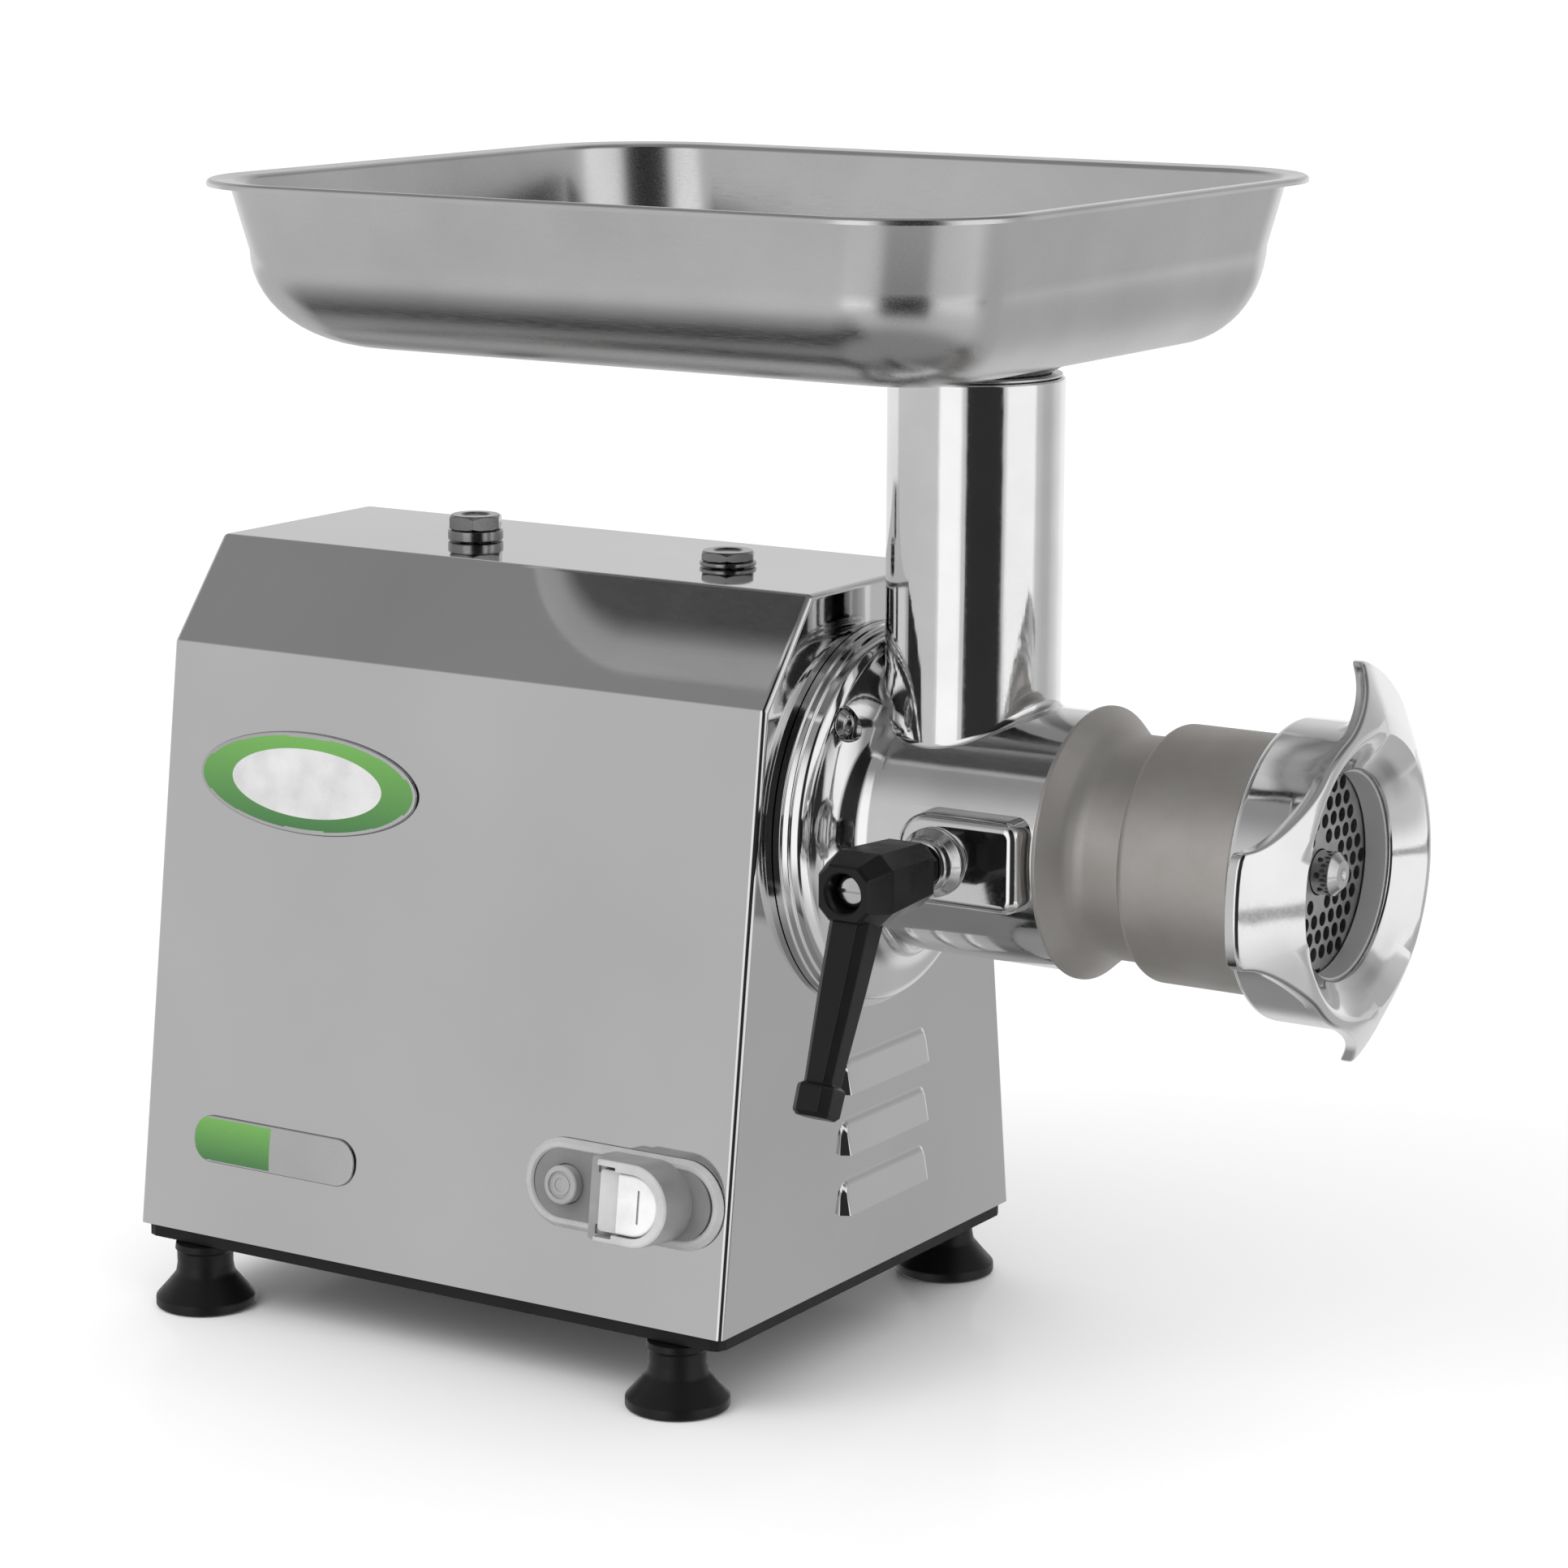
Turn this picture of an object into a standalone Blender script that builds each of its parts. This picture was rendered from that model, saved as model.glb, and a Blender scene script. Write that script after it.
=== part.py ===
"""Electric countertop meat grinder, built in metres.

+X is the auger axis and points to the outlet, +Z is up, and the feet stand on z = 0.
The operator's side, with the switch and the clamping lever, is -Y.
"""
import math

import bmesh
import bpy
from mathutils import Matrix, Vector

# ---- driving dimensions, in metres -------------------------------------------------------
GAP = 0.0003                      # clearance between pieces that touch

HOUSING_CENTRE_X = -0.086
HOUSING_LENGTH = 0.240
HOUSING_BOTTOM_Z = 0.0274
HOUSING_KNEE_Z = 0.2283           # where the sloping shoulders begin
HOUSING_TOP_Z = 0.2618
HOUSING_BOTTOM_HALF = 0.0933
HOUSING_KNEE_HALF = 0.0681
HOUSING_TOP_HALF = 0.0408
SHEET = 0.0015
BEND_RADIUS = 0.004

BASE_THICK = 0.0042
BASE_INSET = 0.0015
FOOT_RADIUS = 0.0172
FOOT_NECK_RADIUS = 0.0096
FOOT_X = (-0.0973, 0.0985)        # from the housing's centre
FOOT_Y = 0.0859

AXIS_Z = 0.1836                   # auger axis height
BARREL_RADIUS = 0.042
BARREL_BORE = 0.0343
BARREL_END = 0.0824               # distances ahead of the housing's front face
FLANGE_RADIUS = 0.0640
FLANGE_HUB_RADIUS = 0.0555
SCREW_CIRCLE = 0.0520

TUBE_AHEAD = 0.036
TUBE_RADIUS = 0.0285
TUBE_BORE = 0.0262
TUBE_TOP_Z = 0.3304

STUD_AHEAD = 0.051
STUD_Z = 0.1826
BOSS_FACE = 0.0500                # distance of the boss face from the auger axis

MOUTH_SLEEVE = 0.0340
MOUTH_BORE = 0.0290
MOUTH_FLARE = 0.0441
MOUTH_NECK = 0.0362
MOUTH_BODY = 0.0413
MOUTH_THREAD = 0.0398
PLATE_SEAT = 0.0354

PLATE_RADIUS = 0.0350             # the standard No. 12 plate, 70 mm across
PLATE_THICK = 0.0080
PLATE_AHEAD = 0.1530
PLATE_HOLE = 0.0023
PLATE_PITCH = 0.0060
PIN_RADIUS = 0.0070
PIN_END = 0.1690                  # the auger's pin ends this far ahead of the housing

NUT_BACK = 0.1508
NUT_LIP = 0.1700
NUT_CREST = 0.1780
NUT_RADIUS = 0.0478
NUT_OPENING = 0.0330
NUT_THREAD = 0.0403
WING_COUNT = 3
WING_REACH = 0.0675
WING_TIP = 0.1635                 # how far ahead of the housing a wing's tip lies
WING_THICK = 0.0045

AUGER_RADIUS = 0.0280
AUGER_CORE = 0.0110
AUGER_PITCH = 0.0360
AUGER_START = 0.026
AUGER_END = 0.1425
SQUARE_DRIVE = 0.0140             # width across the flats of the square drive

TRAY_REAR_X = -0.159
TRAY_FRONT_X = 0.1384
TRAY_HALF_Y = 0.1328
TRAY_RIM_Z = 0.3905
TRAY_FLOOR_Z = 0.3330
TRAY_CORNER = 0.0467
TRAY_RIM_WIDTH = 0.0085
TRAY_SHEET = 0.0012
TRAY_DRAFT = 0.0040               # how far the walls lean inwards above the bend
TRAY_BEND_WIDTH = 0.0340
TRAY_BEND_HEIGHT = 0.0300
TRAY_FRONT_SHARE = 0.62           # width of the outlet end's bend over the other bends'
TRAY_CORNER_CLOSING = 0.55        # how fast the corner radius falls along the bend
TRAY_EDGE_Z = 0.3375              # the floor at its edge; it falls to TRAY_FLOOR_Z at the hole
TRAY_HOLE = 0.0240
TRAY_STEPS = 5
SPOUT_RADIUS = 0.0256

SWITCH_X = -0.0065
SWITCH_UP = 0.0418                # distance up the sloping panel from the housing's lower edge
SWITCH_HALF = (0.0385, 0.0155)

# two-stage reduction gearing: motor pinion, wheel, pinion, output wheel
FIRST_TEETH = (15, 45)
FIRST_MODULE = 0.00125
SECOND_TEETH = (13, 43)
SECOND_MODULE = 0.00175
FIRST_CENTRES = FIRST_MODULE * sum(FIRST_TEETH) / 2
SECOND_CENTRES = SECOND_MODULE * sum(SECOND_TEETH) / 2
COUNTERSHAFT_Z = AXIS_Z - SECOND_CENTRES
MOTOR_Z = COUNTERSHAFT_Z - FIRST_CENTRES
MOTOR_RADIUS = 0.056

HOUSING_FRONT_X = HOUSING_CENTRE_X + HOUSING_LENGTH / 2
HOUSING_REAR_X = HOUSING_CENTRE_X - HOUSING_LENGTH / 2
PANEL_TILT = math.atan2(HOUSING_BOTTOM_HALF - HOUSING_KNEE_HALF, HOUSING_KNEE_Z - HOUSING_BOTTOM_Z)

SMOOTH = 24                       # segments round the large turned pieces
FINE = 16                         # segments round the small ones


def ahead(distance):
    """World x of a point that lies this far ahead of the housing's front face."""
    return HOUSING_FRONT_X + distance


# ---- scene, collections and materials ----------------------------------------------------
def clear_scene():
    for thing in list(bpy.data.objects):
        bpy.data.objects.remove(thing, do_unlink=True)


def collection(name):
    made = bpy.data.collections.new(name)
    bpy.context.scene.collection.children.link(made)
    return made


clear_scene()
PARTS = collection("meat_grinder")
CUTTERS = collection("cutters")

FINISHES = {
    "stainless": ((0.72, 0.72, 0.72), 1.0, 0.12),
    "satin_stainless": ((0.62, 0.62, 0.62), 1.0, 0.35),
    "polished_aluminium": ((0.80, 0.80, 0.80), 1.0, 0.10),
    "satin_aluminium": ((0.60, 0.58, 0.55), 1.0, 0.42),
    "steel": ((0.50, 0.50, 0.51), 1.0, 0.30),
    "black_steel": ((0.03, 0.03, 0.03), 0.0, 0.45),
    "rubber": ((0.02, 0.02, 0.02), 0.0, 0.60),
    "black_plastic": ((0.02, 0.02, 0.02), 0.0, 0.35),
    "clear_plastic": ((0.75, 0.76, 0.76), 0.0, 0.15),
    "white_plastic": ((0.85, 0.85, 0.83), 0.0, 0.30),
    "grey_plastic": ((0.35, 0.35, 0.35), 0.0, 0.40),
    "copper": ((0.72, 0.40, 0.20), 1.0, 0.35),
    "cast_iron": ((0.18, 0.18, 0.19), 0.6, 0.60),
    "green_enamel": ((0.05, 0.28, 0.08), 0.0, 0.25),
}


def material(node, finish):
    colour, metallic, roughness = FINISHES[finish]
    made = bpy.data.materials.new(node + "_" + finish)
    made.use_nodes = True
    shader = made.node_tree.nodes["Principled BSDF"]
    shader.inputs["Base Color"].default_value = (*colour, 1.0)
    shader.inputs["Metallic"].default_value = metallic
    shader.inputs["Roughness"].default_value = roughness
    made.diffuse_color = (*colour, 1.0)
    return made


# ---- modelling helpers -------------------------------------------------------------------
def finish_mesh(name, bm, at=(0.0, 0.0, 0.0)):
    """Turn a bmesh into an unlinked object with welded vertices and faces out."""
    bmesh.ops.remove_doubles(bm, verts=bm.verts, dist=1e-6)
    bmesh.ops.recalc_face_normals(bm, faces=bm.faces)
    mesh = bpy.data.meshes.new(name)
    bm.to_mesh(mesh)
    bm.free()
    made = bpy.data.objects.new(name, mesh)
    made.location = at
    return made


def node(piece, finish, smooth=False):
    """Make an object a named node of the part."""
    PARTS.objects.link(piece)
    piece.data.materials.clear()
    piece.data.materials.append(material(piece.name, finish))
    if smooth:
        for face in piece.data.polygons:
            face.use_smooth = True
    return piece


def revolve(name, profile, at, segments=SMOOTH, axis="X"):
    """Turn a closed outline of (distance along the axis, radius) points into a solid."""
    bm = bmesh.new()
    verts = [bm.verts.new((along, 0.0, radius)) for along, radius in profile]
    pairs = [(verts[i - 1], verts[i]) for i in range(len(verts))]
    edges = [bm.edges.new(pair) for pair in pairs if pair[0].co.z > 0 or pair[1].co.z > 0]
    bmesh.ops.spin(bm, geom=verts + edges, cent=(0, 0, 0), axis=(1, 0, 0),
                   angle=math.tau, steps=segments, use_duplicate=False)
    bmesh.ops.remove_doubles(bm, verts=bm.verts, dist=1e-6)
    centres = [v for v in bm.verts if math.hypot(v.co.y, v.co.z) < 1e-6]
    bmesh.ops.dissolve_verts(bm, verts=centres)
    if axis == "Z":
        bmesh.ops.rotate(bm, verts=bm.verts, matrix=Matrix.Rotation(-math.pi / 2, 3, "Y"))
    elif axis == "Y":
        bmesh.ops.rotate(bm, verts=bm.verts, matrix=Matrix.Rotation(-math.pi / 2, 3, "Z"))
    return finish_mesh(name, bm, at)


def rod(name, start, end, radius, at, segments=FINE, axis="X", chamfer=0.0):
    """A plain round bar, its ends chamfered when asked."""
    if chamfer:
        outline = [(start, 0.0), (start, radius - chamfer), (start + chamfer, radius),
                   (end - chamfer, radius), (end, radius - chamfer), (end, 0.0)]
    else:
        outline = [(start, 0.0), (start, radius), (end, radius), (end, 0.0)]
    return revolve(name, outline, at, segments, axis)


def ring(name, start, end, inner, outer, at, segments=SMOOTH, axis="X"):
    """A plain tube or washer."""
    outline = [(start, inner), (start, outer), (end, outer), (end, inner)]
    return revolve(name, outline, at, segments, axis)


def block(name, x_range, y_range, z_range):
    """A box between the given limits, its origin at the world's origin."""
    bm = bmesh.new()
    bmesh.ops.create_cube(bm, size=1.0)
    for vert in bm.verts:
        for index, limits in enumerate((x_range, y_range, z_range)):
            low, high = limits
            vert.co[index] = low if vert.co[index] < 0 else high
    return finish_mesh(name, bm)


def prism(name, outline, length, transform):
    """Extrude an (x, y) outline symmetrically along z, then place it."""
    bm = bmesh.new()
    verts = [bm.verts.new((x, y, -length / 2)) for x, y in outline]
    face = bm.faces.new(verts)
    grown = bmesh.ops.extrude_face_region(bm, geom=[face])["geom"]
    moved = [item for item in grown if isinstance(item, bmesh.types.BMVert)]
    bmesh.ops.translate(bm, verts=moved, vec=(0, 0, length))
    bmesh.ops.transform(bm, verts=bm.verts, matrix=transform)
    return finish_mesh(name, bm)


def flat_with_holes(name, loops, thickness, transform):
    """Fill the first loop, leave the other loops open, and extrude along z."""
    curve = bpy.data.curves.new(name, "CURVE")
    curve.dimensions = "2D"
    curve.fill_mode = "BOTH"
    curve.extrude = thickness / 2
    for loop in loops:
        spline = curve.splines.new("POLY")
        spline.points.add(len(loop) - 1)
        for point, (x, y) in zip(spline.points, loop):
            point.co = (x, y, 0.0, 1.0)
        spline.use_cyclic_u = True
    source = bpy.data.objects.new(name + "_outline", curve)
    CUTTERS.objects.link(source)
    graph = bpy.context.evaluated_depsgraph_get()
    mesh = bpy.data.meshes.new_from_object(source.evaluated_get(graph))
    bpy.data.objects.remove(source, do_unlink=True)
    bm = bmesh.new()
    bm.from_mesh(mesh)
    bmesh.ops.transform(bm, verts=bm.verts, matrix=transform)
    return finish_mesh(name, bm)


def circle_points(radius, count, centre=(0.0, 0.0), phase=0.0):
    angles = [phase + math.tau * i / count for i in range(count)]
    return [(centre[0] + radius * math.cos(a), centre[1] + radius * math.sin(a)) for a in angles]


def stadium_points(half_length, half_height, steps=8):
    """An oblong with round ends, centred on the origin."""
    reach = half_length - half_height
    points = []
    for side, start in ((1, -math.pi / 2), (-1, math.pi / 2)):
        for i in range(steps + 1):
            angle = start + math.pi * i / steps
            points.append((side * reach + half_height * math.cos(angle), half_height * math.sin(angle)))
    return points


def rounded_points(x_range, y_range, radius, steps=4):
    """A rectangle with rounded corners, running anticlockwise."""
    corners = ((x_range[1] - radius, y_range[1] - radius, 0), (x_range[0] + radius, y_range[1] - radius, 1),
               (x_range[0] + radius, y_range[0] + radius, 2), (x_range[1] - radius, y_range[0] + radius, 3))
    points = []
    for x, y, quarter in corners:
        for i in range(steps + 1):
            angle = math.pi / 2 * (quarter + i / steps)
            points.append((x + radius * math.cos(angle), y + radius * math.sin(angle)))
    return points


def boolean(piece, other, operation="DIFFERENCE"):
    """Cut or join with a helper solid that stays in the cutters' collection."""
    CUTTERS.objects.link(other)
    other.hide_render = True
    other.display_type = "WIRE"
    change = piece.modifiers.new(operation.lower(), "BOOLEAN")
    change.operation = operation
    change.solver = "EXACT"
    change.object = other
    return piece


def bevel(piece, width, segments=2, angle=math.radians(30)):
    change = piece.modifiers.new("bevel", "BEVEL")
    change.width = width
    change.segments = segments
    change.limit_method = "ANGLE"
    change.angle_limit = angle
    return piece


def across_x(x):
    """Places a flat drawn in (y, z) so that its thickness runs along X at this x."""
    return Matrix.Translation((x, 0, 0)) @ Matrix(((0, 0, 1, 0), (1, 0, 0, 0), (0, 1, 0, 0), (0, 0, 0, 1)))


def on_panel(x, up, out):
    """Frame on the sloping -Y panel: local x along the machine, y up the panel, z outwards."""
    along = Vector((1, 0, 0))
    upward = Vector((0, math.sin(PANEL_TILT), math.cos(PANEL_TILT)))
    outward = Vector((0, -math.cos(PANEL_TILT), math.sin(PANEL_TILT)))
    centre = Vector((x, -HOUSING_BOTTOM_HALF, HOUSING_BOTTOM_Z)) + up * upward + out * outward
    rows = [(along[i], upward[i], outward[i], centre[i]) for i in range(3)]
    return Matrix(rows + [(0, 0, 0, 1)])


def hexagon(across_flats):
    return circle_points(across_flats / math.sqrt(3), 6)


# ---- housing, base and feet --------------------------------------------------------------
def housing_section(inset, bottom):
    """Half-section heights and widths of the housing, moved inwards by the inset."""
    slope = (HOUSING_BOTTOM_HALF - HOUSING_KNEE_HALF) / (HOUSING_KNEE_Z - HOUSING_BOTTOM_Z)
    low_half = HOUSING_BOTTOM_HALF - inset + slope * (HOUSING_BOTTOM_Z - bottom)
    knee_half = HOUSING_KNEE_HALF - inset * 1.01
    top_half = HOUSING_TOP_HALF - inset * 0.45
    knee = HOUSING_KNEE_Z - inset * 0.45
    top = HOUSING_TOP_Z - inset
    right = [(low_half, bottom), (knee_half, knee), (top_half, top)]
    return right + [(-y, z) for y, z in reversed(right)]


def housing_shell():
    shell = prism("housing_shell", housing_section(0.0, HOUSING_BOTTOM_Z), HOUSING_LENGTH,
                  across_x(HOUSING_CENTRE_X))
    bevel_top_edges(shell, BEND_RADIUS, 2)
    inner = prism("housing_inside", housing_section(SHEET, HOUSING_BOTTOM_Z - 0.01),
                  HOUSING_LENGTH - 2 * SHEET, across_x(HOUSING_CENTRE_X))
    boolean(shell, inner)
    boolean(shell, rod("drive_hole", -0.005, 0.005, 0.030, (HOUSING_FRONT_X, 0, AXIS_Z)))
    screws = [rod("shell_screw_hole", -0.004, 0.004, 0.0028, screw_place(i), 8) for i in range(4)]
    boolean(shell, joined("shell_screw_holes", screws))
    boolean(shell, rod("gland_hole", -0.005, 0.005, 0.0078, (HOUSING_REAR_X, 0.045, 0.055), 12))
    switch_hole = prism("switch_hole", stadium_points(SWITCH_HALF[0] - 0.0036, SWITCH_HALF[1] - 0.0023, 8),
                        0.012, on_panel(SWITCH_X, SWITCH_UP, 0.0))
    boolean(shell, switch_hole)
    for index, x in enumerate(TOP_BOLTS_X):
        hole = rod("top_bolt_hole_%d" % index, -0.004, 0.004, 0.0054, (x, TOP_BOLT_Y, HOUSING_TOP_Z), 12, "Z")
        boolean(shell, hole)
    boolean(shell, louvres(), "UNION")
    boolean(shell, louvre_slots())
    return node(shell, "stainless")


def bevel_top_edges(shell, width, segments):
    """Round every fold except the open lower edge."""
    bm = bmesh.new()
    bm.from_mesh(shell.data)
    folds = [e for e in bm.edges if max(v.co.z for v in e.verts) > HOUSING_BOTTOM_Z + 0.001]
    bmesh.ops.bevel(bm, geom=folds, offset=width, segments=segments, profile=0.5, affect="EDGES")
    bm.to_mesh(shell.data)
    bm.free()


LOUVRE_Z = (0.0570, 0.0777, 0.0984)
LOUVRE_Y = (-0.0215, 0.0335)
LOUVRE_HEIGHT = 0.0115
LOUVRE_DEPTH = 0.0035


def joined(name, pieces):
    """Collect the meshes of several separate helper solids in one object."""
    bm = bmesh.new()
    for piece in pieces:
        piece.data.transform(Matrix.Translation(piece.location))
        bm.from_mesh(piece.data)
        bpy.data.objects.remove(piece, do_unlink=True)
    return finish_mesh(name, bm)


def louvres():
    """Three pressed vent hoods, each a wedge that stands furthest out at its lower edge."""
    pieces = []
    for z in LOUVRE_Z:
        low, high = z - LOUVRE_HEIGHT / 2, z + LOUVRE_HEIGHT / 2
        x = HOUSING_FRONT_X
        outline = [(x - SHEET / 2, low), (x + LOUVRE_DEPTH * 0.7, low), (x + LOUVRE_DEPTH, low + 0.0015),
                   (x + LOUVRE_DEPTH, low + 0.004), (x - SHEET / 2, high)]
        centre_y = sum(LOUVRE_Y) / 2
        turn = Matrix.Translation((0, centre_y, 0)) @ Matrix.Rotation(math.pi / 2, 4, "X")
        hood = prism("hood", outline, LOUVRE_Y[1] - LOUVRE_Y[0], turn)
        pieces.append(hood)
    return joined("louvre_hoods", pieces)


def louvre_slots():
    pieces = []
    for z in LOUVRE_Z:
        low = z - LOUVRE_HEIGHT / 2
        pieces.append(block("slot", (HOUSING_FRONT_X - 0.004, HOUSING_FRONT_X + LOUVRE_DEPTH * 0.55),
                            (LOUVRE_Y[0] + 0.0015, LOUVRE_Y[1] - 0.0015), (low - 0.002, low + 0.0035)))
    return joined("louvre_slot_cuts", pieces)


def base_plate():
    half_x = HOUSING_LENGTH / 2 - BASE_INSET
    outline = rounded_points((-half_x, half_x), (-HOUSING_BOTTOM_HALF + BASE_INSET,
                             HOUSING_BOTTOM_HALF - BASE_INSET), 0.004, 2)
    holes = [circle_points(0.0043, 10, (x, y)) for x in FOOT_X for y in (-FOOT_Y, FOOT_Y)]
    middle = HOUSING_BOTTOM_Z - GAP - BASE_THICK / 2
    plate = flat_with_holes("base_plate", [outline] + holes, BASE_THICK,
                            Matrix.Translation((HOUSING_CENTRE_X, 0, middle)))
    return node(plate, "black_steel")


def foot(name, x, side):
    """A rubber bell foot with a stud that rises through the base plate."""
    top = HOUSING_BOTTOM_Z - 2 * GAP - BASE_THICK
    outline = [(0.0, 0.0), (0.0, FOOT_RADIUS - 0.001), (0.0008, FOOT_RADIUS), (0.0035, FOOT_RADIUS),
               (0.0075, FOOT_RADIUS * 0.78), (0.0115, FOOT_NECK_RADIUS * 1.05),
               (0.0150, FOOT_NECK_RADIUS), (top - 0.001, FOOT_NECK_RADIUS * 1.06), (top, FOOT_NECK_RADIUS),
               (top, 0.0040), (top + 0.0085, 0.0040), (top + 0.0085, 0.0)]
    piece = revolve(name, outline, (HOUSING_CENTRE_X + x, side * FOOT_Y, 0), 14, "Z")
    return node(piece, "rubber", True)


# ---- the two bolts on the roof -----------------------------------------------------------
TOP_BOLTS_X = (HOUSING_CENTRE_X - 0.038, HOUSING_CENTRE_X + 0.065)
TOP_BOLT_Y = -0.005
BOLT_FLATS = 0.017


def washer(name, x, height):
    start = HOUSING_TOP_Z + GAP
    piece = ring(name, start, start + height, 0.0053, 0.0098, (x, TOP_BOLT_Y, 0), FINE, "Z")
    return node(piece, "steel", True)


def roof_bolt(name, x, seat, head):
    start = HOUSING_TOP_Z + GAP + seat + GAP
    piece = prism(name, hexagon(BOLT_FLATS), head, Matrix.Translation((x, TOP_BOLT_Y, start + head / 2)))
    shank = rod(name + "_shank", -0.022, head / 2, 0.0050, (x, TOP_BOLT_Y, start), 12, "Z")
    boolean(piece, shank, "UNION")
    return node(piece, "steel")


# ---- badges and switch -------------------------------------------------------------------
def ellipse_points(half_x, half_y, count):
    return [(half_x * x, half_y * y) for x, y in circle_points(1.0, count)]


def oval_badge():
    piece = prism("oval_badge", ellipse_points(0.0456, 0.0172, 32), 0.0016,
                  on_panel(HOUSING_CENTRE_X - 0.0583, 0.1597, GAP + 0.0008))
    return node(piece, "green_enamel")


def pill_badge():
    piece = prism("pill_badge", rounded_points((-0.0342, 0.0342), (-0.0081, 0.0081), 0.005, 4), 0.0012,
                  on_panel(HOUSING_CENTRE_X - 0.0634, 0.0338, GAP + 0.0006))
    return node(piece, "satin_stainless")


START_LEFT, START_RIGHT = 0.0005, 0.0240   # limits along x from the switch's centre
START_HALF = 0.0100
COLLAR_LEFT, COLLAR_RIGHT = -0.0035, 0.0265
COLLAR_HALF = 0.0124
STOP_X = -0.0215
STOP_RADIUS = 0.0068
STOP_TOP = 0.0060                 # heights above the panel
BEZEL_THICK = 0.0025
SWITCH_FLAT = 0.0022
COLLAR_TOP = 0.0180
BUTTON_DEPTH = 0.0100
START_TRAVEL = 0.0030
STOP_TRAVEL = 0.0025


def d_points(left, right, half, steps=8):
    """A rectangle whose right end is a half circle."""
    points = [(left, half), (left, -half)]
    for i in range(steps + 1):
        angle = -math.pi / 2 + math.pi * i / steps
        points.append((right - half + half * math.cos(angle), half * math.sin(angle)))
    return points


def switch_bezel():
    """Clear splash lip, an open oblong frame."""
    inner = stadium_points(SWITCH_HALF[0] - 0.0038, SWITCH_HALF[1] - 0.0025, 8)
    frame = flat_with_holes("switch_bezel", [stadium_points(*SWITCH_HALF, 8), inner], BEZEL_THICK,
                            on_panel(SWITCH_X, SWITCH_UP, GAP + BEZEL_THICK / 2))
    return node(frame, "clear_plastic")


def switch_body():
    """Oblong insert with the stop well on one half and a raised collar round the start button."""
    depth = 0.020
    base = prism("switch_body", stadium_points(SWITCH_HALF[0] - 0.0043, SWITCH_HALF[1] - 0.0030, 8),
                 depth, on_panel(SWITCH_X, SWITCH_UP, SWITCH_FLAT - depth / 2))
    overlap = 0.006
    collar = prism("switch_collar", d_points(COLLAR_LEFT, COLLAR_RIGHT, COLLAR_HALF),
                   COLLAR_TOP - SWITCH_FLAT + overlap,
                   on_panel(SWITCH_X, SWITCH_UP, (COLLAR_TOP + SWITCH_FLAT - overlap) / 2))
    boolean(base, collar, "UNION")
    well = BUTTON_DEPTH + START_TRAVEL + 0.0015
    start = prism("start_well", d_points(START_LEFT - GAP, START_RIGHT + GAP, START_HALF + GAP),
                  2 * well, on_panel(SWITCH_X, SWITCH_UP, COLLAR_TOP))
    boolean(base, start)
    well = BUTTON_DEPTH + STOP_TRAVEL + 0.0005
    stop = prism("stop_well", circle_points(STOP_RADIUS + GAP, 16), 2 * well,
                 on_panel(SWITCH_X + STOP_X, SWITCH_UP, STOP_TOP))
    boolean(base, stop)
    return node(base, "grey_plastic")


def start_button():
    top = COLLAR_TOP - 0.0010
    middle = (START_LEFT + START_RIGHT) / 2
    outline = [(x - middle, y) for x, y in d_points(START_LEFT, START_RIGHT, START_HALF)]
    piece = prism("start_button", outline, BUTTON_DEPTH, Matrix.Identity(4))
    piece.matrix_world = on_panel(SWITCH_X + middle, SWITCH_UP, top - BUTTON_DEPTH / 2)
    return node(piece, "white_plastic")


def stop_button():
    piece = prism("stop_button", circle_points(STOP_RADIUS, 16), BUTTON_DEPTH, Matrix.Identity(4))
    piece.matrix_world = on_panel(SWITCH_X + STOP_X, SWITCH_UP, STOP_TOP - BUTTON_DEPTH / 2)
    return node(piece, "grey_plastic")


def cable_gland():
    """Bushing where the mains lead enters; its outer face is the rearmost point of the machine."""
    x = HOUSING_REAR_X
    outline = [(x - 0.006, 0.0045), (x - 0.006, 0.0095), (x - 0.005, 0.0105), (x - GAP, 0.0105),
               (x - GAP, 0.0074), (x + 0.010, 0.0074), (x + 0.010, 0.0045)]
    return node(revolve("cable_gland", outline, (0, 0.045, 0.055), 16), "black_plastic", True)


# ---- head casting ------------------------------------------------------------------------
def bell_outline():
    """Flange, concave bell and barrel, from the flange's back to the open end."""
    hub = [(-0.0070, 0.0), (-0.0070, 0.0294), (0.0003, 0.0294), (0.0003, FLANGE_RADIUS - 0.0015), (0.0010, FLANGE_RADIUS),
           (0.0030, FLANGE_RADIUS), (0.0036, FLANGE_RADIUS - 0.0022), (0.0050, FLANGE_RADIUS - 0.0026),
           (0.0068, FLANGE_RADIUS - 0.0045), (0.0090, FLANGE_HUB_RADIUS + 0.0020), (0.0105, FLANGE_HUB_RADIUS)]
    rise = FLANGE_HUB_RADIUS - 0.0035 - BARREL_RADIUS
    for step in range(6):
        angle = math.pi / 2 * step / 5
        hub.append((0.0120 + 0.0160 * (1 - math.cos(angle)), BARREL_RADIUS + rise * (1 - math.sin(angle))))
    hub += [(BARREL_END - 0.001, BARREL_RADIUS), (BARREL_END, BARREL_RADIUS - 0.001), (BARREL_END, 0.0)]
    return hub


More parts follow.
